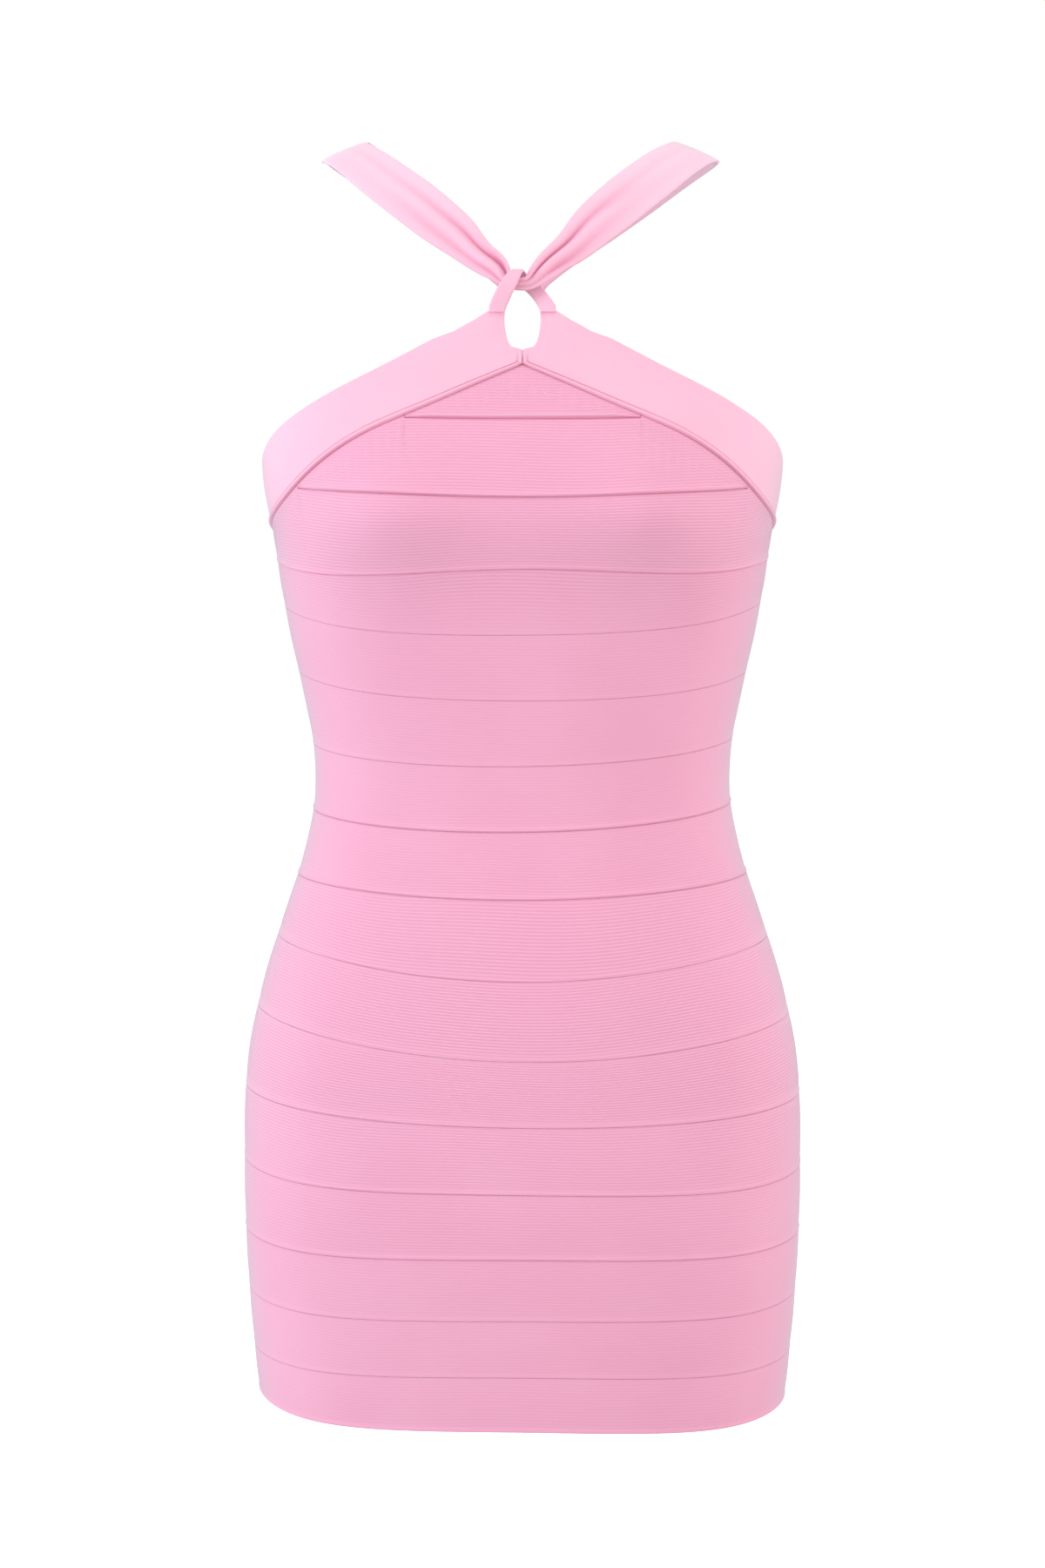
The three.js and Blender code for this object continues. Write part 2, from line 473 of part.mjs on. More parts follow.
// Flat plate from a shape drawn in X and Z, with its near face at the given Y.
function plate(shape, near, thick, curveSegments = 6) {
  const geometry = new THREE.ExtrudeGeometry(shape, { depth: thick, bevelEnabled: false, curveSegments });
  geometry.rotateX(Math.PI / 2);
  geometry.translate(0, near + thick, 0);
  return geometry;
}

// A geometry's shared corners and their triangles, with nothing else.
function bare(geometry) {
  const shape = geometry.clone();
  shape.deleteAttribute('normal');
  shape.deleteAttribute('uv');
  return mergeVertices(shape, 1e-3);
}

// One closed body from two that overlap.
function join(first, second) {
  const [a, b] = [first, second].map(bare).map(({ attributes, index }) => new wasm.Manifold(new wasm.Mesh({
    numProp: 3, vertProperties: attributes.position.array, triVerts: Uint32Array.from(index.array),
  })));
  const mesh = a.add(b).getMesh();
  return solid([...mesh.vertProperties], [...mesh.triVerts]);
}

// The slider's plate with the bail over it. Local Y is out of the cloth, and the coil's face is at Y = 0.
function sliderBody() {
  const { top, bottom, tall, thick } = SLIDER;
  const outline = new THREE.Shape();
  outline.moveTo(-bottom, -tall / 2);
  outline.lineTo(bottom, -tall / 2);
  outline.bezierCurveTo(bottom, -tall / 6, top, 0, top, tall / 3);
  outline.lineTo(top * 0.7, tall / 2);
  outline.lineTo(-top * 0.7, tall / 2);
  outline.lineTo(-top, tall / 3);
  outline.bezierCurveTo(-top, 0, -bottom, -tall / 6, -bottom, -tall / 2);
  const arch = new THREE.Shape([
    [-BAIL.down, thick / 2], [-BAIL.down + BAIL.bar, thick / 2], [-BAIL.down + BAIL.bar, BAIL.inner],
    [BAIL.up - BAIL.bar, BAIL.inner], [BAIL.up - BAIL.bar, thick / 2], [BAIL.up, thick / 2],
    [BAIL.up, BAIL.inner], [BAIL.up - BAIL.bar, BAIL.rise], [-BAIL.down + BAIL.bar, BAIL.rise],
    [-BAIL.down, BAIL.inner],
  ].map(([z, y]) => new THREE.Vector2(z, y)));
  // Drawn with Z across and Y up, then turned so that its thickness runs along X.
  const bail = new THREE.ExtrudeGeometry(arch, { depth: 2 * BAIL.half, bevelEnabled: false });
  bail.translate(0, 0, -BAIL.half);
  bail.rotateY(-Math.PI / 2);
  return join(plate(outline, SEAM_GAP, thick), bail);
}

// The pull's tab, hanging from a bar under the bail. The bar's middle is at the local origin.
function pullTab() {
  const { thick, neck, half, long, window, windowLong } = PULL;
  const outline = new THREE.Shape();
  outline.moveTo(-neck, thick / 2);
  outline.bezierCurveTo(-neck, -long * 0.4, -half, -long * 0.5, -half, -long + half);
  outline.absarc(0, -long + half, half, Math.PI, 2 * Math.PI, false);
  outline.bezierCurveTo(half, -long * 0.5, neck, -long * 0.4, neck, thick / 2);
  const hole = new THREE.Path([
    [-window, -thick / 2], [window, -thick / 2], [window, -windowLong], [-window, -windowLong],
  ].map(([x, z]) => new THREE.Vector2(x, z)));
  outline.holes.push(hole);
  return plate(outline, -thick / 2, thick);
}

const COLOURS = {
  knit: { color: 0xf3aac8, roughness: 0.8, metalness: 0 },
  tape: { color: 0xe79dbd, roughness: 0.9, metalness: 0 },
  coil: { color: 0xe9a3c0, roughness: 0.5, metalness: 0 },
  metal: { color: 0xe8a9c2, roughness: 0.35, metalness: 0.4 },
};

const dress = new THREE.Group();

function add(name, geometry, finish) {
  const mesh = new THREE.Mesh(geometry, new THREE.MeshStandardMaterial(COLOURS[finish]));
  mesh.name = name;
  dress.add(mesh);
  return mesh;
}

for (let number = 1; number <= SEAMS.length; number++) {
  add(`strip_${String(number).padStart(2, '0')}`, strip(number), 'knit');
}
add('neckband_left', neckband(-1), 'knit');
add('neckband_right', neckband(1), 'knit');
add('front_strap', strap(FRONT_STRAP, ACROSS, KNIT, shoulder(-1), shoulder(-1)), 'knit');
add('twist_loop', strap(LOOP, ACROSS_LOOP, LOOP_WALL, loopEnd, loopEnd), 'knit');
add('back_strap_left', strap(mirrored(BACK_STRAP), ACROSS, KNIT, shoulder(1), backEnd), 'knit');
add('back_strap_right', strap(BACK_STRAP, ACROSS, KNIT, shoulder(1), backEnd), 'knit');
add('zip_tape_left', zipTape(-1), 'tape');
add('zip_tape_right', zipTape(1), 'tape');
add('zip_coil', zipCoil(), 'coil');

// The slider lies on the coil just below the neckband's top, square to the cloth there.
const sliderZ = BAND.at(-1).topZ - SLIDER.drop;
const seat = offBody(180, sliderZ, BAND_WALL + BAND_PUFF);
const outward = seat.clone().sub(onBody(180, sliderZ)).normalize();
const tilt = Math.atan2(outward.z, outward.y);
const slider = add('zip_slider', sliderBody(), 'metal');
slider.position.set(0, seat.y, seat.z);
slider.rotation.x = tilt;

// The pull hangs straight down from its bar, which lies midway between the slider's plate and the bail.
const bar = new THREE.Vector3(0, (SLIDER.thick + SEAM_GAP + BAIL.inner) / 2, 0)
  .applyAxisAngle(new THREE.Vector3(1, 0, 0), tilt).add(slider.position);
const pull = add('zip_pull', pullTab(), 'metal');
pull.position.copy(bar);

export default dress;
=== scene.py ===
import math
import bpy
import numpy as np
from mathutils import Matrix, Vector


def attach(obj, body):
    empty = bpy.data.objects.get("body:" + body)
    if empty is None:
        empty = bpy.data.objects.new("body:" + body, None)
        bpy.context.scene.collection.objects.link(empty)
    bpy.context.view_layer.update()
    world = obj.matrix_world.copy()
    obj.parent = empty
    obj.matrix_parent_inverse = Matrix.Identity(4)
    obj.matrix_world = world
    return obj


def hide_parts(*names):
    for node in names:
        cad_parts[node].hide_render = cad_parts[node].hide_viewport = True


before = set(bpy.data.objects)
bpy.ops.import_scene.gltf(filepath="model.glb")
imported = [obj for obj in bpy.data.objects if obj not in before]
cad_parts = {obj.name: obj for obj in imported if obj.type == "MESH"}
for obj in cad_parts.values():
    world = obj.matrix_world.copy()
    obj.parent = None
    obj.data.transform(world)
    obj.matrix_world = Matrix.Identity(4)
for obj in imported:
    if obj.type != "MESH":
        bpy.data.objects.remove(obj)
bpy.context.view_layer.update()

# A short bodycon dress of pink bandage knit, kept in the hollow shape that it has when worn.
# Tables and sizes are in millimetres and become metres when a mesh is made. +Z is up and the front faces -Y.
# Angles are in degrees round the body from the centre front, positive towards +X; 180 is the centre back.
MM = 0.001

# Cloth
KNIT = 2.0  # wall of a strip and of a strap
SEAM_GAP = 0.3  # between two strips
CORD_TALL = 3.4  # height over which the raised cord along a strip's lower edge runs out
CORD_RISE = 0.75  # how far it stands proud
LIP = 0.8  # height of its rounded underside
HOOK = 0.24  # how far that hangs down over the strip below
LAP_TALL = 1.4  # height of the step behind a lower edge, which takes the tongue of the strip below
TONGUE = 1.0
LAP_OUT = 0.9  # how far the step reaches outwards
CREASE_TALL = 0.5  # the rounded top edge of a strip's face, beside the cord above
CREASE_DEEP = 0.35
PUFF = 0.25  # how far a strip swells between its seams
RIB_PITCH = 1.8  # from one crosswise rib of the knit to the next
RIB_WAVE = 0.5  # how far a rib wanders up and down
SEAM_SHADE_FADE = 0.55  # height over which the painted shade beside a seam fades
TAPER = 8.0  # a strip lower than this has its cord and tongue scaled down
STRIP_END = 1.5  # height of a strip's end where it runs out at the neckband
COLUMN = 2.5  # degrees between two columns of points
ZIP_HALF = 3.6  # half the space between the cloth edges along the zip
CLOSED_HALF = 0.02  # half of it below the zip
LAST_ZIP_STRIP = 11
LAST_UNDER_BAND = 4

# Neckband
BAND_WALL = 2.8
BAND_PUFF = 0.5
RIDGE_TALL = 1.9  # the raised seam along the neckband's lower edge
RIDGE_RISE = 1.3
GROOVE_UP = 3.1  # height of the sewn line above that seam
GROOVE = 0.35  # its depth
LOOP_WALL = 2.4
LOOP_END = -114.3  # height at which the loop's ends are sewn to the neckband

# Zip
ZIP_TOP, ZIP_BOTTOM = -256.0, -604.0
TAPE_IN = 0.15  # from the centre back to the tape's inner edge
TAPE_REACH = 14.0
TAPE_LIFT = 0.45  # how far the tape lies under the cloth
TAPE_WALL = 1.0
EDGE_ROUND = 0.28  # rounding of the slider and the pull
COIL_PITCH = 1.5
COIL_HALF = 2.9
COIL_ROD = 0.42  # radius of the nylon thread that the coil is wound from
COIL_UNDER = 0.1  # how far the coil's bed reaches below the cloth's inner face
COIL_RISE = 0.6  # how far the coil stands proud of the strips
COIL_PAST = 0.7  # how far a turn of the coil reaches past the middle
STITCH_X = 5.8  # from the centre back to the row of topstitching
STITCH = 2.6
STITCH_SPACE = 0.8
STITCH_ROD = 0.24


def table(names, rows):
    """The named columns of a short table, as arrays."""
    return dict(zip(names.split(), np.array(rows, float).T))


# Rings of the cloth's inner face: half width, and how far it reaches in front of and behind the side line.
FIGURE = table("z half front back", [
    (-810, 162.5, 96, 104.5), (-757, 168.2, 99, 111.5), (-691, 172.9, 103.5, 122), (-625, 173.8, 107, 128),
    (-581, 171.8, 107.5, 123), (-537, 163.6, 105.5, 111.5), (-493, 150.4, 100.5, 96), (-449, 136.1, 93.5, 80),
    (-405, 128.5, 89, 72), (-372, 130.8, 90, 75), (-328, 139.9, 94, 83), (-284, 148.7, 103, 91.5),
    (-240, 155.3, 116, 97.5), (-196, 161.3, 106, 100), (-170, 161, 94, 99), (-115, 154, 72, 92),
    (-60, 146, 54, 78),
])
SQUARE = 0.03  # how far a ring leaves an ellipse towards a rounded rectangle
CUP = {"x": 82, "z": -238, "out": 13, "wide": 40, "above": 42, "below": 30}  # fullness over each side of the bust

# Lower edge of each strip; lean is how much higher it lies on the right-hand side than midway, and bold how strong
# its cord is.
SEAMS = table("front eighth side back lean bold", [
    (-181, -178, -172, -172, 0, 2.3), (-228, -223, -214, -214, 0, 1.8), (-270, -272.5, -262, -264, 1, 0.75),
    (-310, -304, -290, -303, 1.5, 0.1), (-350, -344, -332, -341, 0, 0.15), (-390, -384.5, -376, -382, 2, 0.25),
    (-430, -424.5, -417, -423, 2.2, 0.9), (-471, -465.5, -460, -466, 0.5, 0.8),
    (-520, -508.5, -499, -510, -0.5, 0.25), (-568, -556, -545, -557, -2.4, 0.25),
    (-608, -603, -595, -604, -2.6, 0.4), (-649, -648.5, -640, -648, -2.6, 0.5),
    (-689, -690, -683, -689, -1.2, 0.55), (-727, -728, -721, -727, -1, 0.25), (-762, -764, -758, -762, -1.6, 0.2),
    (-796, -797, -788, -794, -2.6, 0.5),
])
# Depth of the crosswise ribs at each height: most over the bust and the hips.
RIBS = table("z deep", [
    (-810, 0.03), (-700, 0.04), (-625, 0.09), (-590, 0.17), (-480, 0.15), (-455, 0.07), (-400, 0.03), (-300, 0.04),
    (-275, 0.12), (-190, 0.18), (-120, 0.16),
])
STRIPS = len(SEAMS["front"])

# The neckband from the centre front to the centre back: a point of its lower edge and the one across from it on
# its top edge, each as angle and height. It runs on past the centre back to its mirror image.
BAND = table("low lowZ top topZ", [
    (0, -147.3, 18.2, -131.5), (9, -159.5, 23.5, -139.5), (20, -174.3, 30.5, -149.2), (32, -188.5, 39, -159.2),
    (46, -207, 50.5, -171.5), (62, -226, 65, -185), (78, -237, 80, -198), (95, -244.5, 96, -208.5),
    (120, -259, 120.5, -224), (150, -276, 150, -241.5), (180, -290, 180, -255), (210, -276, 210, -241.5),
])
BAND_LOW = BAND["lowZ"].min()
# Its end beside the keyhole, from the twist loop down to the centre-front seam, with the distance from the
# centre in place of the angle.
KEYHOLE = table("low lowZ top topZ", [
    (10.7, -114.5, 21, -114.5), (10.9, -120.5, 25, -117), (10.2, -127, 29.2, -119.7), (8.4, -133.8, 33.4, -122),
    (5, -138, 37.6, -124.4), (0.15, -138.8, 42, -127),
])

# Straps: the middle of the section, the width, the depth of the gathers' folds, how far the edges curl back, and
# the way that the outer side faces.
STRAP = "x y z wide fold curl fx fy fz"
FRONT_STRAP = table(STRAP, [
    (-112.4, 0, -8.4, 30, 0.2, 1, -0.4, 0, 0.92), (-110.6, -7, -9.4, 31, 0.2, 1, -0.38, -0.14, 0.9),
    (-104.6, -14.5, -13.4, 32, 0.3, 1, -0.34, -0.32, 0.86), (-94, -23.5, -21.6, 33, 0.4, 1, -0.28, -0.5, 0.8),
    (-81, -34, -32.4, 33, 0.5, 1, -0.22, -0.68, 0.68), (-67, -43, -43.6, 32.5, 0.8, 1, -0.18, -0.8, 0.56),
    (-53.5, -51, -55, 31, 1.2, 1.2, -0.14, -0.88, 0.46), (-39.5, -58.5, -66.8, 27, 1.8, 1.4, -0.1, -0.92, 0.36),
    (-25.5, -66, -80, 20, 2.6, 1.5, -0.05, -0.96, 0.26), (-14.5, -71.8, -89.4, 15, 3, 1.4, 0, -0.99, 0.14),
    (-9.4, -74.4, -95.6, 8.8, 2.2, 0.8, 0, -1, 0.05), (-3, -75.5, -97.4, 8, 2, 0.8, 0, -1, 0.05),
    (2.8, -75.4, -97.2, 8.4, 2.2, 0.8, 0, -1, 0.05), (9.2, -73.8, -92.2, 13, 2.8, 1, 0, -0.99, 0.14),
    (18, -69.4, -83.4, 17.6, 2.8, 1.5, 0.03, -0.97, 0.2), (29.5, -63.5, -74.2, 22, 2.4, 1.5, 0.06, -0.95, 0.28),
    (42.1, -56.5, -61.4, 28, 1.6, 1.3, 0.1, -0.92, 0.38), (55.2, -49, -49.2, 31, 1, 1.1, 0.15, -0.87, 0.48),
    (67.8, -41.5, -38.2, 32, 0.6, 1, 0.19, -0.8, 0.57), (80, -33, -28, 32.5, 0.4, 1, 0.23, -0.68, 0.68),
    (91.5, -23.5, -18.6, 32.5, 0.3, 1, 0.29, -0.5, 0.8), (101.4, -14.5, -11.8, 32, 0.2, 1, 0.34, -0.32, 0.86),
    (107, -7, -8.6, 31, 0.2, 1, 0.38, -0.14, 0.9), (108.8, 0, -7.9, 30, 0.2, 1, 0.4, 0, 0.92),
])
# The right back strap; the left one is its mirror image.
BACK_STRAP = table(STRAP, [
    (110, 0.4, -8.4, 30, 0.2, 1, 0.4, 0, 0.92), (108.4, 8, -9, 31, 0.2, 1, 0.38, 0.14, 0.9),
    (102.4, 18, -12.4, 31, 0.2, 1, 0.34, 0.34, 0.86), (91, 31, -19, 31, 0.2, 1, 0.28, 0.5, 0.8),
    (75, 46, -29.5, 30, 0.3, 1, 0.2, 0.7, 0.66), (57.5, 60, -42, 27, 0.5, 1, 0.14, 0.84, 0.52),
    (40.5, 71.5, -56.5, 20, 0.8, 1, 0.08, 0.92, 0.38), (26, 79.5, -69, 13.5, 1.2, 1, 0.04, 0.96, 0.28),
    (17, 83.4, -77.8, 10, 1.3, 0.8, 0, 0.98, 0.2), (12, 85.8, -83.6, 8.2, 1.3, 0.7, 0, 0.98, 0.18),
    (10.5, 87.4, -88, 7.4, 1.3, 0.6, 0, 0.99, 0.17), (12, 88.6, -92.6, 7.2, 1.3, 0.6, 0, 0.99, 0.16),
    (15, 90, -98, 7.6, 1.3, 0.6, 0, 0.99, 0.15), (16.8, 91.6, -105, 8, 1.3, 0.6, 0, 0.99, 0.13),
    (17, 93.4, -115, 8.8, 1.2, 0.6, 0, 0.99, 0.12), (17.2, 96.6, -138, 12, 0.9, 0.6, 0, 1, 0.08),
    (18.4, 99.4, -168, 17, 0.5, 0.4, 0, 1, 0.03), (19.6, 100.4, -200, 20, 0.3, 0.2, 0, 1, 0),
    (20.5, 99.6, -228, 21, 0.2, 0.1, 0, 1, -0.05), (21, 98.2, -253.6, 21, 0, 0, 0, 1, -0.06),
])
# The twist loop: up in front of the front strap, over it and down behind it.
LOOP = table(STRAP, [
    (-15.7, -75.6, -113, 10.3, 0, 0, 0, -1, 0.1), (-13.8, -77.2, -108.2, 10.1, 0, 0, 0, -1, 0.1),
    (-11, -79, -102.5, 9.8, 0, 0, 0, -1, 0.05), (-7.8, -79.9, -97, 9.4, 0, 0, 0, -1, 0.1),
    (-5.5, -79.3, -93, 8.4, 0, 0, 0, -0.85, 0.5), (-3.9, -77, -90.6, 7.4, 0, 0, 0, -0.4, 0.9),
    (-2.9, -74, -89.6, 7, 0, 0, 0, 0, 1), (-2, -70.4, -90.4, 7, 0, 0, 0, 0.5, 0.85),
    (-0.2, -68.6, -93.6, 8, 0, 0, 0, 0.85, 0.5), (4.4, -68.2, -98.1, 8.4, 0, 0, 0, 1, 0),
    (9.4, -69.4, -103, 8.8, 0, 0, 0, 1, -0.2), (13.4, -72.4, -108.7, 9.4, 0, 0, 0, 1, -0.2),
    (15.8, -75.4, -113, 10.3, 0, 0, 0, 1, -0.1),
])
# Valleys of the gathers across a strap, from -1 at its upper edge to 1 at its lower edge.
FOLDS = table("at wide share", [(-0.35, 0.2, 1), (0.42, 0.26, 0.5)])
FOLD_FULL_SHADE = 2.2  # depth of a fold at which its painted shade is deepest
# Creases laid into the straps: from one X to another, where they lie across the strap at each end, how
# wide they are and how deep. A negative depth is a ridge.
CREASE = "start end near far wide deep"
FRONT_CREASES = table(CREASE, [
    (-9, -36, -0.62, -0.66, 0.16, 1.6), (-11, -58, 0.1, 0.28, 0.16, -0.8), (-30, -96, 0.55, 0.2, 0.22, 0.35),
    (10, 62, 0.0, -0.02, 0.12, -0.9), (12, 40, 0.55, 0.7, 0.2, 0.8), (46, 98, -0.3, 0.35, 0.25, 0.35),
])
BACK_CREASES = table(CREASE, [(17, 60, 0.1, 0.3, 0.16, -0.6), (30, 96, -0.4, 0.1, 0.22, 0.4)])


def curve(xs, ys):
    """Natural cubic spline: on each span a cubic whose value, slope and bend run on at the points, with no bend
    at the two ends. Returns a function of an array."""
    xs, ys = np.asarray(xs, float), np.asarray(ys, float)
    step, last = np.diff(xs), len(xs) - 1
    inner = np.arange(1, last)
    matrix, right = np.eye(last + 1), np.zeros(last + 1)
    matrix[inner, inner - 1], matrix[inner, inner + 1] = step[:-1], step[1:]
    matrix[inner, inner] = 2 * (step[:-1] + step[1:])
    right[inner] = 6 * np.diff(np.diff(ys) / step)
    bend = np.linalg.solve(matrix, right)

    def at(x):
        i = np.clip(np.searchsorted(xs, x) - 1, 0, last - 1)
        a, b, h = (xs[i + 1] - x) / step[i], (x - xs[i]) / step[i], step[i]
        return a * ys[i] + b * ys[i + 1] + ((a**3 - a) * bend[i] + (b**3 - b) * bend[i + 1]) * h * h / 6

    return at


def unit(vectors):
    """The same directions with length 1."""
    return vectors / np.maximum(np.linalg.norm(vectors, axis=-1, keepdims=True), 1e-12)


half_at, front_at, back_at = (curve(FIGURE["z"], FIGURE[name]) for name in ("half", "front", "back"))


def on_body(angle, z):
    """A point of the cloth's inner face. With turn t, side = (sin t + q sin 3t) / (1 - q) and ahead =
    (cos t - q cos 3t) / (1 - q); x = half * side, y = -(front * ahead + fullness * sqrt(ahead)) in front and
    -back * ahead behind, where fullness is two bells side by side over the bust."""
    angle, z = np.broadcast_arrays(np.asarray(angle, float), np.asarray(z, float))
    turn = np.radians(angle)
    side = (np.sin(turn) + SQUARE * np.sin(3 * turn)) / (1 - SQUARE)
    ahead = (np.cos(turn) - SQUARE * np.cos(3 * turn)) / (1 - SQUARE)
    x = half_at(z) * side
    tall = np.where(z > CUP["z"], CUP["above"], CUP["below"])
    bells = sum(np.exp(-(((x - middle) / CUP["wide"]) ** 2)) for middle in (-CUP["x"], CUP["x"]))
    fullness = CUP["out"] * np.exp(-(((z - CUP["z"]) / tall) ** 2)) * bells
    front = front_at(z) * ahead + fullness * np.sqrt(np.clip(ahead, 0, None))
    return np.stack([x, -np.where(ahead > 0, front, back_at(z) * ahead), z], -1)


def outward(angle, z):
    """The direction square to the cloth, out of the body: the cross product of its two tangents."""
    return unit(np.cross(on_body(angle + 0.05, z) - on_body(angle - 0.05, z),
                         on_body(angle, z + 0.5) - on_body(angle, z - 0.5)))


def off_body(angle, z, out):
    """A point of the inner face moved out by a distance, square to the cloth."""
    angle, z, out = np.broadcast_arrays(np.asarray(angle, float), np.asarray(z, float), np.asarray(out, float))
    return on_body(angle, z) + outward(angle, z) * out[..., None]


def angle_at(x, z):
    """The angle on the front at which the body has the given distance from the centre, by halving a range."""
    low, high = np.zeros_like(x), np.full_like(x, 60.0)
    for _ in range(30):
        middle = (low + high) / 2
        nearer = on_body(middle, z)[..., 0] < x
        low, high = np.where(nearer, middle, low), np.where(nearer, high, middle)
    return (low + high) / 2


def beside_back(x, z):
    """The angle near the centre back at which the body has the small distance x from the centre: there
    x = half * (1 + 3q) / (1 - q) * (180 - angle)."""
    away = np.degrees(np.abs(x) * (1 - SQUARE) / ((1 + 3 * SQUARE) * half_at(z)))
    return np.where(x < 0, away - 180, 180 - away)


seam_curves = [curve([-90, -45, 0, 45, 90, 180, 270],
                     [SEAMS[name][n] for name in ("side", "eighth", "front", "eighth", "side", "back", "side")])
               for n in range(STRIPS)]
band_low, band_top, band_top_z = (curve(BAND["low"], BAND[name]) for name in ("lowZ", "top", "topZ"))


def seam_at(number, angle):
    """Height of a strip's lower edge: a spline through its named heights, plus lean * sin(angle)."""
    return seam_curves[number - 1](np.abs(angle)) + SEAMS["lean"][number - 1] * np.sin(np.radians(angle))


def strip_top(number, angle):
    """Height of a strip's top edge: a gap below the strip above it, as far as that one goes, or below the neckband,
    whichever is lower."""
    above = seam_at(number - 1, angle) - SEAM_GAP if number > 1 else np.full_like(angle, np.inf)
    start, stop = ends.get(number - 1, (-180, 180))
    above = np.where((angle >= start) & (angle <= stop), above, np.inf)
    return above if number > LAST_UNDER_BAND else np.minimum(above, band_low(np.abs(angle)) - SEAM_GAP)


def meets_band(number, side):
    """The angle at which a strip has thinned to its end height under the neckband."""
    angles = np.linspace(0, 150, 15001)
    left = band_low(angles) - SEAM_GAP - seam_at(number, side * angles)
    return side * angles[np.argmax(left < STRIP_END)]


ends = {number: (meets_band(number, -1), meets_band(number, 1)) for number in (1, 2, 3)}


def shell(name, rings, along, across, finish, hollow=0.0):
    """A closed skin through rings of points, in millimetres, each ring closed on itself, and a flat face at each
    end. Point (i, j) of the UV map is (along, across) in metres, with one more j than the ring has points. Hollow
    is 1 deep in a seam or fold and 0 on open cloth; the materials paint shade where it is high."""
    count, around = rings.shape[:2]
    i, j = np.meshgrid(np.arange(count - 1), np.arange(around), indexing="ij")
    beside = (j + 1) % around
    faces = np.stack([i * around + j, i * around + beside, (i + 1) * around + beside, (i + 1) * around + j], -1)
    flat = np.stack([along, across], -1) * MM
    corners = np.stack([flat[i, j], flat[i, j + 1], flat[i + 1, j + 1], flat[i + 1, j]], 2)
    faces, corners = faces.reshape(-1, 4), corners.reshape(-1, 4, 2)
    first, last = np.arange(around)[::-1], (count - 1) * around + np.arange(around)
    points = rings.reshape(-1, 3) * MM
    a, b, c, d = (points[faces[:, k]] for k in range(4))
    volume = (np.cross(b, c) * a).sum() + (np.cross(c, d) * a).sum()
    if volume < 0:
        faces, corners, first, last = faces[:, ::-1], corners[:, ::-1], first[::-1], last[::-1]
    mesh = bpy.data.meshes.new(name)
    mesh.from_pydata(points.tolist(), [], faces.tolist() + [first.tolist(), last.tolist()])
    uv = mesh.uv_layers.new(name="cloth")
    tips = flat[:, :-1].reshape(-1, 2)[np.concatenate([first, last])]
    uv.data.foreach_set("uv", np.concatenate([corners.reshape(-1, 2), tips]).astype(np.float32).ravel())
    depth = np.broadcast_to(hollow, rings.shape[:2]).astype(np.float32)
    mesh.attributes.new("hollow", "FLOAT", "POINT").data.foreach_set("value", depth.ravel())
    mesh.polygons.foreach_set("use_smooth", np.ones(len(mesh.polygons), bool))
    mesh.set_sharp_from_angle(angle=math.radians(55))
    mesh.materials.append(finish)
    piece = bpy.data.objects.new(name, mesh)
    bpy.context.scene.collection.objects.link(piece)
    return piece


def lengths(points):
    """Distance along each line of points, from 0 at its first."""
    steps = np.linalg.norm(np.diff(points, axis=0), axis=-1)
    return np.concatenate([np.zeros((1,) + steps.shape[1:]), np.cumsum(steps, axis=0)])


def sew(piece, node, face):
    """Puts a cloth piece in its solid's place, parented to the dress, and hides the solid. It measures the longest
    line of the face that shows each way, but keeps neither."""
    long, wide = lengths(face)[-1].max(), lengths(face.transpose(1, 0, 2))[-1].max()
    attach(piece, "dress")
    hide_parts(node)
    return piece


# Knit strips

def lip_of(bold):
    """Height of the rounded underside: less along a faint seam."""
    return LIP * min(1, 0.5 + bold / 2)


def cord_out(up, bold, scale):
    """How far a strip's face lies from the body near its lower edge: wall + rise * (1 + cos(pi q)) / 2, where q
    goes from 0 at the top of the rounded underside to 1 where the cord has run out."""
    start = lip_of(bold) - HOOK
    q = np.clip((up / scale - start) / (CORD_TALL - start), 0, 1)
    return KNIT + CORD_RISE * bold * scale * (1 + np.cos(np.pi * q)) / 2


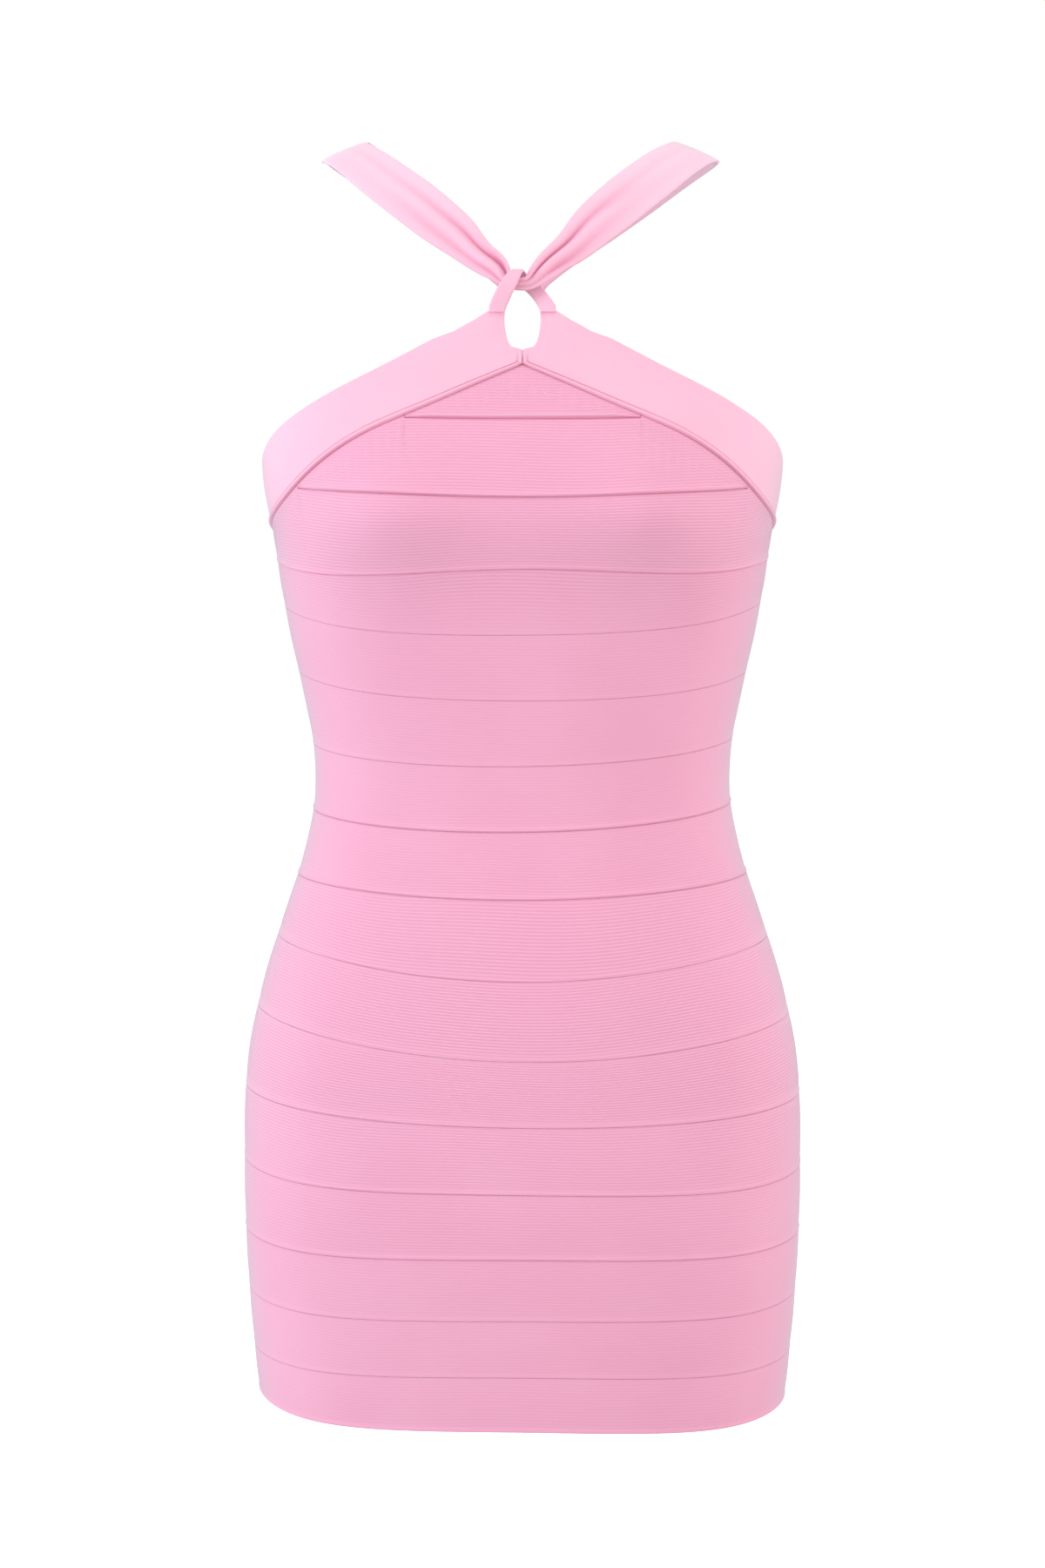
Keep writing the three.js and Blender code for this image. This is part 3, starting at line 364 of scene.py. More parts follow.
def strip_section(angles, low, tall, full, bold, over, tongue):
    """Points of a strip's section in each column, as height and distance out. The step under the lower edge; the
    cord's underside as a quarter turn, height = lip * (1 - cos t) - hook and out = step + (cord - step) * sin t;
    the cord; a face that swells by puff * sin(pi w), with ribs of depth * sin(2 pi turns); a top edge that rounds
    by crease * (1 - cos t); the tongue; and the inside. Turns = height / whole height * ribs + a slow wave. Bold
    and over are the strengths of the seams at the lower and the top edge."""
    scale, tall, low, full = np.minimum(1, tall / TAPER)[:, None], tall[:, None], low[:, None], full[:, None]
    step_up = np.array([[LAP_TALL, LAP_TALL, -HOOK]]) * scale
    step_out = np.array([[0, LAP_OUT, LAP_OUT + 0.1]]) + 0 * scale
    t = np.linspace(0, np.pi / 2, 5)[None]
    inset = LAP_OUT + 0.25
    lip, crease = lip_of(bold), CREASE_TALL * min(1, over)
    lip_up = (lip * (1 - np.cos(t)) - HOOK) * scale
    lip_out = inset + (cord_out(lip_up[:, -1:], bold, scale) - inset) * np.sin(t)
    slope_up = (lip - HOOK + np.linspace(0, 1, 8)[None, 1:] * (CORD_TALL - lip + HOOK)) * scale
    slope_out = cord_out(slope_up, bold, scale)
    count = int(round(np.median(full) / RIB_PITCH))
    w = np.linspace(0, 1, 4 * count + 1)[None, 1:]
    bottom, top = CORD_TALL * scale, tall - crease * scale
    face_up = bottom + w * (top - bottom)
    wave = RIB_WAVE / RIB_PITCH * (np.sin(np.radians(5 * angles) + low[0]) + np.sin(np.radians(8 * angles)))[:, None]
    turns = face_up / full * count + wave
    fade = np.clip(12 * w, 0, 1) * np.clip(12 * (1 - w), 0, 1) * scale
    ribs = np.interp(low + face_up, RIBS["z"], RIBS["deep"]) * np.sin(2 * np.pi * turns) * fade
    face_out = KNIT + PUFF * np.sin(np.pi * w) * scale + ribs
    crease_up = top + crease * np.sin(t[:, 1:]) * scale
    crease_out = KNIT - CREASE_DEEP * min(1, over) * (1 - np.cos(t[:, 1:])) + 0 * scale
    tongue_up = tall + np.array([[0, 1, 1]]) * TONGUE * tongue[:, None]
    tongue_out = np.array([[LAP_OUT - 0.05, LAP_OUT - 0.15, 0.05]]) + 0 * scale
    inner_up = tall - np.linspace(0, 1, 5)[None, :-1] * (tall - LAP_TALL * scale)
    ups = np.concatenate([step_up, lip_up, slope_up, face_up, crease_up, tongue_up, inner_up], 1)
    outs = np.concatenate([step_out, lip_out, slope_out, face_out, crease_out, tongue_out, 0 * inner_up], 1)
    # Painted shade beside each seam: hollow is highest at the lower and top edges of a strip and fades away from
    # them.
    below, beside = np.exp(-((ups / SEAM_SHADE_FADE) ** 2)), np.exp(-(((tall - ups) / SEAM_SHADE_FADE) ** 2))
    hollow = np.clip(below * min(bold, 1.6) * 0.35 + beside * min(over, 1.6) * 0.45, 0, 1)
    return ups, outs, ups / full * count + wave, hollow


def knit_strip(number, finish):
    """One bandage strip: column a, row r is off_body(a, lower edge + height r, distance out r)."""
    start, stop = ends.get(number, (-180.0, 180.0))
    angles = np.linspace(start, stop, int((stop - start) / COLUMN) + 1)
    beside = [spot + extra for spot, extra in zip(ends.get(number - 1, (0, 0)), (-0.2, 0.2))]
    angles = np.unique(np.concatenate([angles, ends.get(number - 1, (0, 0)), beside]))
    low, tall = seam_at(number, angles), strip_top(number, angles) - seam_at(number, angles)
    full, tongue = np.full_like(angles, 45.0), np.ones_like(angles)
    if number > 1:
        full = seam_at(number - 1, angles) - low
    if number - 1 in ends:
        inside = (angles >= ends[number - 1][0]) & (angles <= ends[number - 1][1])
        room = strip_top(number - 1, angles) - seam_at(number - 1, angles)
        tongue = np.where(inside, np.clip(room / TAPER, 0, 1), 1)
    over = SEAMS["bold"][number - 2] if number > 1 else 1.0
    ups, outs, turns, hollow = strip_section(angles, low, tall, full, SEAMS["bold"][number - 1], over, tongue)
    half = ZIP_HALF if number <= LAST_ZIP_STRIP else CLOSED_HALF

    def place(heights, outs):
        turned = np.broadcast_to(angles[:, None], heights.shape)
        if number not in ends:
            turned = turned * beside_back(np.full_like(heights, half), heights) / 180
        points = off_body(turned, heights, outs)
        if number not in ends:
            points[0, :, 0], points[-1, :, 0] = -half, half
        return points

    rings = place(low[:, None] + ups, outs)
    face = place(low[:, None] + np.linspace(0, 1, 14)[None] * tall[:, None], KNIT)
    along = np.broadcast_to(lengths(face[:, 7])[:, None] + 37 * number, (len(angles), ups.shape[1] + 1))
    across = np.concatenate([turns, turns[:, :1]], 1) * RIB_PITCH
    piece = shell(f"knit_strip_{number:02d}", rings, along, across, finish, hollow)
    return sew(piece, f"strip_{number:02d}", face)


# Neckband

def band_stations():
    """The points of the two edges, from the loop round to the centre back: a spline down the keyhole, a straight
    stretch down the centre-front seam, then the band's curves. Returns the four columns and how far the raised
    seam has grown, from 0 at the keyhole to 1."""
    rows = np.arange(len(KEYHOLE["low"]))
    t = np.linspace(0, rows[-1], 46)
    hole = {name: curve(rows, KEYHOLE[name])(t) for name in KEYHOLE}
    for name in ("low", "top"):
        hole[name] = angle_at(np.maximum(hole[name], CLOSED_HALF), hole[name + "Z"])
    angles = np.linspace(0, 180, 181)
    round_body = {"low": angles, "lowZ": band_low(angles), "top": band_top(angles), "topZ": band_top_z(angles)}
    mix = np.linspace(0, 1, 11)[1:-1]
    seam = {name: hole[name][-1] + mix * (round_body[name][0] - hole[name][-1]) for name in hole}
    grown = np.concatenate([0 * t, mix, np.ones_like(angles)])
    return {name: np.concatenate([hole[name], seam[name], round_body[name]]) for name in hole}, grown


def band_section(wide, grown):
    """Points of the neckband's section for each station's width, as distance up from the lower edge and distance
    out. The lower edge goes from a fold, half a turn of half the wall, at the keyhole to a sewn edge with a step
    and a raised seam of two quarter turns; then a sewn groove, a puffed face, a folded top edge and the inside."""
    scale, grown = np.minimum(1, wide / 24)[:, None], grown[:, None]
    fold = BAND_WALL / 2
    t = np.linspace(-np.pi / 2, np.pi / 2, 12)[None]
    plain_up, plain_out = fold - fold * np.cos(t), fold + fold * np.sin(t)
    lower, upper = np.linspace(0, np.pi / 2, 5)[None, :-1], np.linspace(0, np.pi / 2, 5)[None]
    half, inset = RIDGE_TALL / 2, LAP_OUT + 0.25
    sewn_up = np.concatenate([np.array([[LAP_TALL, LAP_TALL, -HOOK]]), half - (half + HOOK) * np.cos(lower),
                              half + half * np.sin(upper)], 1)
    sewn_out = np.concatenate([np.array([[0, LAP_OUT, LAP_OUT + 0.1]]),
                               inset + (BAND_WALL + RIDGE_RISE - inset) * np.sin(lower),
                               BAND_WALL + 0.1 + (RIDGE_RISE - 0.1) * np.cos(upper)], 1)
    edge_up = (plain_up + grown * (sewn_up - plain_up)) * (scale + grown * (1 - scale))
    edge_out = plain_out + grown * (sewn_out - plain_out)
    line_up = (GROOVE_UP + np.array([[-0.8, -0.4, 0, 0.4, 0.9]])) * scale
    line_out = BAND_WALL + np.array([[0.1, 0.15, -GROOVE, 0.1, 0.1]]) * grown
    w = np.linspace(0, 1, 16)[None]
    bottom, top = 4.6 * scale, wide[:, None] - fold
    face_up, face_out = bottom + w * (top - bottom), BAND_WALL + BAND_PUFF * np.sin(np.pi * w) ** 0.8 + 0 * top
    t = np.linspace(0, np.pi, 11)[None, 1:]
    fold_up, fold_out = top + fold * np.sin(t), fold + fold * np.cos(t) + 0 * top
    inside = np.linspace(1, 0, 7)[None, 1:-1]
    inner_up, inner_out = edge_up[:, :1] + inside * (top - edge_up[:, :1]), 0 * inside * top
    ups = np.concatenate([edge_up, line_up, face_up, fold_up, inner_up], 1)
    outs = np.concatenate([edge_out, line_out, face_out, fold_out, inner_out], 1)
    return ups, outs, 12 + 5 + 16 + 5


def neckband(side, finish):
    """One side of the neckband: station i, row r lies at share = up / width of the way from the lower edge's
    point to the top edge's point, moved out of the body by the section's distance."""
    edges, grown = band_stations()
    low, top = on_body(edges["low"], edges["lowZ"]), on_body(edges["top"], edges["topZ"])
    wide = np.linalg.norm(top - low, axis=-1)
    ups, outs, outside = band_section(wide, grown)
    share = ups / wide[:, None]
    angles = edges["low"][:, None] + share * (edges["top"] - edges["low"])[:, None]
    heights = edges["lowZ"][:, None] + share * (edges["topZ"] - edges["lowZ"])[:, None]
    back = np.clip((angles - 170) / 10, 0, 1)
    angles = angles + back * (beside_back(np.full_like(heights, ZIP_HALF), heights) - 180)
    rings = off_body(angles, heights, outs)
    rings[..., 0] = np.maximum(rings[..., 0], CLOSED_HALF)
    rings[-1, :, 0] = ZIP_HALF
    rings[..., 0] *= side
    along = np.broadcast_to(lengths(rings[:, outside // 2])[:, None], (len(wide), ups.shape[1] + 1))
    across = np.concatenate([ups, ups[:, :1]], 1)
    word = "left" if side < 0 else "right"
    # Painted shade: deeper pink in the sewn groove, along the lower edge and in the centre-front seam.
    groove = np.exp(-(((ups - GROOVE_UP) / 0.55) ** 2)) + np.exp(-((ups / 0.6) ** 2))
    centre = np.exp(-((rings[..., 0] / 0.5) ** 2)) * (np.arange(len(wide)) < 70)[:, None]
    hollow = np.clip(0.4 * groove * grown[:, None] + centre, 0, 1) * (outs > 1)
    piece = shell(f"folded_neckband_{word}", rings, along, across, finish, hollow)
    return sew(piece, f"neckband_{word}", rings[:, 5:outside])


# Straps

def strap(name, rows, wall, finish, cut, creases=None, mirror=1, stations=150, across_points=45):
    """A flat strap along its table: place + wide * (u * half - out * sin lean) + face * (rise(u) + out * cos
    lean), where rise(u) = -fold * sum(share * exp(-((u - at) / wide)^2)) - curl * u^2 - sum of the creases, and
    its two long edges are half turns. Each end is cut flat where the named axis has the given value."""
    knots = lengths(np.stack([rows["x"], rows["y"], rows["z"]], -1))
    s = np.linspace(0, knots[-1], stations)
    at = {column: curve(knots, rows[column]) for column in rows}
    place = lambda spot: np.stack([at["x"](spot), at["y"](spot), at["z"](spot)], -1)
    run = unit(place(s + 0.1) - place(s - 0.1))
    side = unit(np.cross(run, np.stack([at["fx"](s), at["fy"](s), at["fz"](s)], -1)))
    face = np.cross(side, run)
    half, x = at["wide"](s)[:, None] / 2, at["x"](s)[:, None]
    edge = wall / 2

    def rise(u):
        level = -at["curl"](s)[:, None] * u**2
        for spot, wide, share in zip(*FOLDS.values()):
            level = level - at["fold"](s)[:, None] * share * np.exp(-(((u - spot) / wide) ** 2))
        for start, end, near, far, wide, deep in zip(*(creases or {}).values()):
            q = np.clip((x - start) / (end - start), 0, 1)
            spot = near + q * (far - near)
            level = level - deep * np.sin(np.pi * np.sqrt(q)) ** 2 * np.exp(-(((u - spot) / wide) ** 2))
        return level

    t = np.linspace(-np.pi / 2, np.pi / 2, 7)[1:-1]
    u_flat = np.linspace(-1, 1, across_points)
    u_ring = np.concatenate([u_flat, 1 + 0 * t, u_flat[::-1], -1 + 0 * t])[None]
    out_ring = np.concatenate([0 * u_flat - edge, edge * np.sin(t), 0 * u_flat + edge, -edge * np.sin(t)])[None]
    past = np.concatenate([0 * u_flat, edge * np.cos(t), 0 * u_flat, -edge * np.cos(t)])[None]
    inset = edge / half
    u = u_ring * (1 - inset)
    lean = np.arctan2(rise(u + 0.02) - rise(u - 0.02), 0.04 * half)
    sideways = u * half + past * np.cos(lean) - out_ring * np.sin(lean)
    ahead = rise(u) + out_ring * np.cos(lean) + past * np.sin(lean)
    rings = place(s)[:, None] + side[:, None] * sideways[..., None] + face[:, None] * ahead[..., None]
    for station, (axis, value) in zip((0, -1), cut):
        rings[station, :, axis] = value
    rings[..., 0] *= mirror
    front = slice(len(u_flat) + 2, 2 * len(u_flat) + len(t) + 3)  # from the middle of one edge to the other's
    along = np.broadcast_to(s[:, None], (stations, u.shape[1] + 1))
    across = np.concatenate([u * half, u[:, :1] * half], 1)
    # Painted shade: the pink deepens in the valleys of the gathers and creases.
    sunk = -(rise(u) + at["curl"](s)[:, None] * u**2)
    hollow = np.clip(sunk / FOLD_FULL_SHADE, 0, 1) * (out_ring > 0)
    return shell(name, rings, along, across, finish, hollow), rings[:, front]


X, Y, Z = 0, 1, 2


def straps(finish):
    """The front strap, the twist loop and the two back straps."""
    shoulder, other = (Y, -CLOSED_HALF), (Y, CLOSED_HALF)
    piece, face = strap("gathered_front_strap", FRONT_STRAP, KNIT, finish, (shoulder, shoulder), FRONT_CREASES,
                        stations=320)
    sew(piece, "front_strap", face)
    seam = (Z, LOOP_END)
    piece, face = strap("folded_twist_loop", LOOP, LOOP_WALL, finish, (seam, seam), stations=120, across_points=25)
    sew(piece, "twist_loop", face)
    for word, mirror in (("left", -1), ("right", 1)):
        piece, face = strap(f"knit_back_strap_{word}", BACK_STRAP, KNIT, finish,
                            (other, (Z, BACK_STRAP["z"][-1])), BACK_CREASES, mirror, stations=240)
        sew(piece, f"back_strap_{word}", face)


# Zip

def on_back(x, z, out):
    """A point over the cloth beside the centre back, at the distance x from the middle."""
    x, z, out = np.broadcast_arrays(x, z, out)
    points = off_body(beside_back(x, z), z, out)
    points[..., 0] = x
    return points


def zip_tape(side, finish):
    """One woven tape, under the cloth's edge: station i at height z, with a point every 1.4 mm out to the tape's
    reach on its outer face and back on its inner face."""
    z = np.linspace(ZIP_TOP, ZIP_BOTTOM, 176)[:, None]
    reach = np.linspace(TAPE_IN, TAPE_REACH, 11)
    x = side * np.concatenate([reach, reach[::-1]])[None]
    out = -TAPE_LIFT - TAPE_WALL * np.repeat([0, 1], len(reach))[None]
    rings = on_back(x, z, out)
    along = np.broadcast_to(lengths(rings[:, 0])[:, None], (len(z), x.shape[1] + 1))
    across = np.broadcast_to(np.concatenate([x, x[:, :1]], 1), along.shape)
    word = "left" if side < 0 else "right"
    piece = shell(f"woven_zip_tape_{word}", rings, along, across, finish)
    return sew(piece, f"zip_tape_{word}", rings[:, :len(reach)])


def rods(name, starts, stops, radius, finish):
    """Many short round rods in one mesh: rings at the ends of each rod, smaller rings past them and a point at
    each tip. A ring is centre + r * (e1 cos t + e2 sin t)."""
    axis = unit(stops - starts)
    first = unit(np.cross(axis, np.array([0.3, 0.9, 0.2])))
    second = np.cross(axis, first)
    t = np.arange(8) * np.pi / 4
    circle = first[:, None] * np.cos(t)[:, None] + second[:, None] * np.sin(t)[:, None]
    past = axis * radius
    middles = [(starts - 0.7 * past, 0.7), (starts, 1), (stops, 1), (stops + 0.7 * past, 0.7)]
    parts = [(starts - past)[:, None]]
    parts += [middle[:, None] + circle * radius * share for middle, share in middles]
    parts += [(stops + past)[:, None]]
    points = np.concatenate(parts, 1)
    j = np.arange(8)
    beside, tip = (j + 1) % 8, points.shape[1] - 1
    caps = np.concatenate([np.stack([0 * j, 1 + beside, 1 + j], -1),
                           np.stack([tip + 0 * j, 25 + j, 25 + beside], -1)])
    rows = np.concatenate([np.stack([8 * k + 1 + j, 8 * k + 1 + beside, 8 * k + 9 + beside, 8 * k + 9 + j], -1)
                           for k in range(3)])
    base = np.arange(len(points))[:, None, None] * points.shape[1]
    faces = (base + caps).reshape(-1, 3).tolist() + (base + rows).reshape(-1, 4).tolist()
    mesh = bpy.data.meshes.new(name)
    mesh.from_pydata((points.reshape(-1, 3) * MM).tolist(), [], faces)
    mesh.polygons.foreach_set("use_smooth", np.ones(len(mesh.polygons), bool))
    mesh.materials.append(finish)
    piece = bpy.data.objects.new(name, mesh)
    bpy.context.scene.collection.objects.link(piece)
    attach(piece, "dress")
    return piece


def back_face(z):
    """How far the outer face lies from the body beside the zip: the neckband, or a strip with its cord."""
    low = SEAMS["back"][LAST_UNDER_BAND - 1:LAST_ZIP_STRIP]
    which = np.clip(np.searchsorted(-low, -z), 0, len(low) - 1)
    bold = SEAMS["bold"][LAST_UNDER_BAND - 1:LAST_ZIP_STRIP][which]
    q = np.clip((z - low[which]) / CORD_TALL, 0, 1)
    strip = KNIT + PUFF + CORD_RISE * bold * (1 + np.cos(np.pi * q)) / 2
    return np.where(z > BAND_LOW, BAND_WALL + BAND_PUFF, strip)


def zip_coil(finish):
    """The nylon coil, closed: a flat bed between the cloth edges, and over it a rod every pitch from each side,
    the two sides half a pitch apart."""
    z = np.linspace(ZIP_TOP, ZIP_BOTTOM, 176)[:, None]
    t = np.linspace(0, 2 * np.pi, 17)[None, :-1]
    face = np.where(z > BAND_LOW, BAND_WALL + BAND_PUFF, KNIT + COIL_RISE)
    middle, half = (face - COIL_ROD - COIL_UNDER) / 2, (face - COIL_ROD + COIL_UNDER) / 2 - 0.15
    x = (COIL_HALF - 0.2) * np.sign(np.cos(t)) * np.abs(np.cos(t)) ** 0.4
    out = middle + half * np.sign(np.sin(t)) * np.abs(np.sin(t)) ** 0.4
    rings = on_back(x + 0 * z, z, out)
    along = np.repeat(z, 17, axis=1)
    across = np.broadcast_to(np.append(x[0], x[0, 0]), along.shape)
    bed = shell("zip_coil_bed", rings, along, across, finish)
    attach(bed, "dress")
    heights = np.arange(ZIP_TOP - 0.8, ZIP_BOTTOM + 0.8, -COIL_PITCH)
    starts, stops = [], []
    for side, shift in ((-1, 0), (1, COIL_PITCH / 2)):
        level = heights[heights - shift > ZIP_BOTTOM + 0.5] - shift
        out = np.where(level > BAND_LOW, BAND_WALL + BAND_PUFF, KNIT + COIL_RISE) - COIL_ROD
        starts.append(on_back(side * (COIL_HALF - COIL_ROD), level, out))
        stops.append(on_back(-side * COIL_PAST, level, out))
    teeth = rods("zip_coil_teeth", np.concatenate(starts), np.concatenate(stops), COIL_ROD, finish)
    for piece in (bed, teeth):
        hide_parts("zip_coil")


def topstitching(finish):
    """A row of stitches down each side of the zip, on the cloth."""
    top = np.arange(ZIP_TOP - 2, ZIP_BOTTOM + 2, -(STITCH + STITCH_SPACE))
    starts, stops = [], []
    for side in (-1, 1):
        for found, level in ((starts, top), (stops, top - STITCH)):
            found.append(on_back(side * STITCH_X, level, back_face(level) + STITCH_ROD * 0.4))
    piece = rods("zip_topstitching", np.concatenate(starts), np.concatenate(stops), STITCH_ROD, finish)


def round_edges(node, finish):
    """A metal part of the zip: its edges rounded, in enamel."""
    weld = node.modifiers.new("weld", "WELD")
    weld.merge_threshold = 0.01 * MM
    edges = node.modifiers.new("rounded_edges", "BEVEL")
    edges.width, edges.segments = EDGE_ROUND * MM, 3
    edges.limit_method, edges.angle_limit = "ANGLE", math.radians(40)
    node.data.polygons.foreach_set("use_smooth", np.ones(len(node.data.polygons), bool))
    node.data.set_sharp_from_angle(angle=math.radians(50))
    node.data.materials.clear()
    node.data.materials.append(finish)


# Materials

def nodes_of(name):
    """A new material with its shader, and a short way to add and join nodes."""
    made = bpy.data.materials.new(name)
    made.use_nodes = True
    tree = made.node_tree
    shader = tree.nodes["Principled BSDF"]

    def add(kind, values=None, **settings):
        node = tree.nodes.new("ShaderNode" + kind)
        for key, value in settings.items():
            setattr(node, key, value)
        for key, value in (values or {}).items():
            if isinstance(value, bpy.types.NodeSocket):
                tree.links.new(value, node.inputs[key])
            else:
                node.inputs[key].default_value = value
        return node

    def link(value, socket):
        tree.links.new(value, shader.inputs[socket])

    return made, shader, add, link


def set_cloth(shader, roughness, sheen, tint):
    """The shader values of a soft cloth, which are the same all over."""
    shader.inputs["Roughness"].default_value = roughness
    shader.inputs["Specular IOR Level"].default_value = 0.25
    shader.inputs["Sheen Weight"].default_value = sheen
    shader.inputs["Sheen Roughness"].default_value = 0.45
    shader.inputs["Sheen Tint"].default_value = tint


PINK = (0.82, 0.37, 0.525, 1)
DEEP_PINK = (0.77, 0.31, 0.46, 1)
SEAM_SHADE_PINK = (0.68, 0.13, 0.27, 1)  # painted shade, in a seam and at the bottom of a fold
LILAC = (0.75, 0.95, 1.0, 1)
FINE_PITCH = 1.1  # from rib to rib of the closer knit
TWILL_PITCH = 0.9
TOP_LIGHT_FROM, TOP_LIGHT_TO = -85, -10  # heights between which painted top light makes the straps lighter


def bandage_knit():
    """Bandage knit: the UV map's v runs one rib pitch per rib, so sin(2 pi v / pitch) paints shade into the hollows
    between the ribs in step with the mesh, most over the bust and the hips. Stitches along each rib and a slow
    change of tone come from noise. Painted shade in the seams and folds: the pink is deepest where the mesh's hollow
    is 1."""
    made, shader, add, link = nodes_of("bandage_knit")
    set_cloth(shader, 0.75, 0.8, LILAC)
    place = add("TexCoord")
    uv = add("SeparateXYZ", {0: place.outputs["UV"]})
    across = add("Math", {0: uv.outputs["Y"], 1: 2 * math.pi / (RIB_PITCH * MM)}, operation="MULTIPLY")
    rib = add("Math", {0: across.outputs[0]}, operation="SINE")
    stretched = add("Mapping", {"Vector": place.outputs["UV"], "Scale": (900, 1100, 1)})
    stitch = add("TexNoise", {"Vector": stretched.outputs[0], "Scale": 1.0, "Detail": 1.0})
    mottle = add("TexNoise", {"Vector": place.outputs["Object"], "Scale": 14.0, "Detail": 3.0})
    z = add("SeparateXYZ", {0: place.outputs["Object"]})
    low, high = RIBS["z"][0] * MM, RIBS["z"][-1] * MM
    level = add("MapRange", {"Value": z.outputs["Z"], "From Min": low, "From Max": high})
    bold = add("ValToRGB", {"Fac": level.outputs[0]})
    elements = bold.color_ramp.elements
    for spot, deep in zip((RIBS["z"][1:-1] * MM - low) / (high - low), RIBS["deep"][1:-1] / RIBS["deep"].max()):
        elements.new(spot).color = (deep, deep, deep, 1)
    for end, deep in ((0, RIBS["deep"][0]), (-1, RIBS["deep"][-1])):
        elements[end].color = (*[deep / RIBS["deep"].max()] * 3, 1)
    bump = add("Bump", {"Strength": 0.35, "Distance": 0.12 * MM, "Height": stitch.outputs[0]})
    link(bump.outputs["Normal"], "Normal")
    # Painted shade between the ribs, added to a slow random change of tone.
    shown = add("Math", {0: rib.outputs[0], 1: bold.outputs["Color"]}, operation="MULTIPLY")
    tone = add("Math", {0: shown.outputs[0], 1: 0.85, 2: mottle.outputs[0]}, operation="MULTIPLY_ADD")
    colour = add("Mix", {0: tone.outputs[0], 6: DEEP_PINK, 7: PINK}, data_type="RGBA")
    # Painted shade in the seams and at the bottom of folds.
    hollow = add("Attribute", attribute_name="hollow")
    shaded = add("Mix", {0: hollow.outputs["Fac"], 6: colour.outputs[2], 7: SEAM_SHADE_PINK}, data_type="RGBA")
    link(shaded.outputs[2], "Base Color")
    return made


def smooth_knit():
    """The closer knit of the neckband, loop and straps: fine ribs along the piece with a little painted shade
    between them, and a slow change of tone; lighter towards the shoulders as a painted highlight from the light
    above, and deeper in the folds, seams and grooves as painted shade."""
    made, shader, add, link = nodes_of("smooth_knit")
    set_cloth(shader, 0.7, 0.6, LILAC)
    place = add("TexCoord")
    uv = add("SeparateXYZ", {0: place.outputs["UV"]})
    across = add("Math", {0: uv.outputs["Y"], 1: 2 * math.pi / (FINE_PITCH * MM)}, operation="MULTIPLY")
    rib = add("Math", {0: across.outputs[0]}, operation="SINE")
    stretched = add("Mapping", {"Vector": place.outputs["UV"], "Scale": (1100, 900, 1)})
    stitch = add("TexNoise", {"Vector": stretched.outputs[0], "Scale": 1.0, "Detail": 1.0})
    mottle = add("TexNoise", {"Vector": place.outputs["Object"], "Scale": 18.0, "Detail": 3.0})
    height = add("Math", {0: stitch.outputs[0], 1: 0.2, 2: rib.outputs[0]}, operation="MULTIPLY_ADD")
    bump = add("Bump", {"Strength": 0.2, "Distance": 0.04 * MM, "Height": height.outputs[0]})
    link(bump.outputs["Normal"], "Normal")
    # A little painted shade between the fine ribs, added to a slow random change of tone.
    tone = add("Math", {0: rib.outputs[0], 1: 0.06, 2: mottle.outputs[0]}, operation="MULTIPLY_ADD")
    colour = add("Mix", {0: tone.outputs[0], 6: (0.86, 0.42, 0.56, 1), 7: (0.89, 0.48, 0.62, 1)}, data_type="RGBA")
    # Painted highlight: the pink grows lighter with height towards the shoulders, where the light from above falls.
    level = add("SeparateXYZ", {0: place.outputs["Object"]})
    up = add("MapRange", {"Value": level.outputs["Z"], "From Min": TOP_LIGHT_FROM * MM, "From Max": TOP_LIGHT_TO * MM,
                          "To Max": 0.5})
    painted_top_light = add("Mix", {0: up.outputs[0], 6: colour.outputs[2], 7: (0.93, 0.68, 0.8, 1)}, data_type="RGBA")
    # Painted shade in the folds, seams and grooves.
    hollow = add("Attribute", attribute_name="hollow")
    depth = add("Math", {0: hollow.outputs["Fac"], 1: 0.7}, operation="MULTIPLY")
    shaded = add("Mix", {0: depth.outputs[0], 6: painted_top_light.outputs[2], 7: SEAM_SHADE_PINK}, data_type="RGBA")
    link(shaded.outputs[2], "Base Color")
    return made


def zip_weave():
    """The zip's tape: a twill whose diagonal is sin(2 pi (x + z) / pitch), and the same thread in the stitching."""
    made, shader, add, link = nodes_of("zip_weave")
    set_cloth(shader, 0.8, 0.4, LILAC)
    place = add("TexCoord")
    spot = add("SeparateXYZ", {0: place.outputs["Object"]})
    slope = add("Math", {0: spot.outputs["X"], 1: spot.outputs["Z"]}, operation="ADD")
    turn = add("Math", {0: slope.outputs[0], 1: 2 * math.pi / (TWILL_PITCH * MM)}, operation="MULTIPLY")
    wave = add("Math", {0: turn.outputs[0]}, operation="SINE")
    bump = add("Bump", {"Strength": 0.4, "Distance": 0.08 * MM, "Height": wave.outputs[0]})
    link(bump.outputs["Normal"], "Normal")
    tone = add("Math", {0: wave.outputs[0], 1: 0.3, 2: 0.5}, operation="MULTIPLY_ADD")
    colour = add("Mix", {0: tone.outputs[0], 6: DEEP_PINK, 7: PINK}, data_type="RGBA")
    link(colour.outputs[2], "Base Color")
    return made


def nylon():
    """The coil: smooth pink nylon with a slow change of tone."""
    made, shader, add, link = nodes_of("pink_nylon")
    shader.inputs["Roughness"].default_value = 0.38
    place = add("TexCoord")
    mottle = add("TexNoise", {"Vector": place.outputs["Object"], "Scale": 220.0, "Detail": 2.0})
    colour = add("Mix", {0: mottle.outputs[0], 6: (0.72, 0.26, 0.4, 1), 7: (0.82, 0.38, 0.52, 1)}, data_type="RGBA")
    link(colour.outputs[2], "Base Color")
    return made


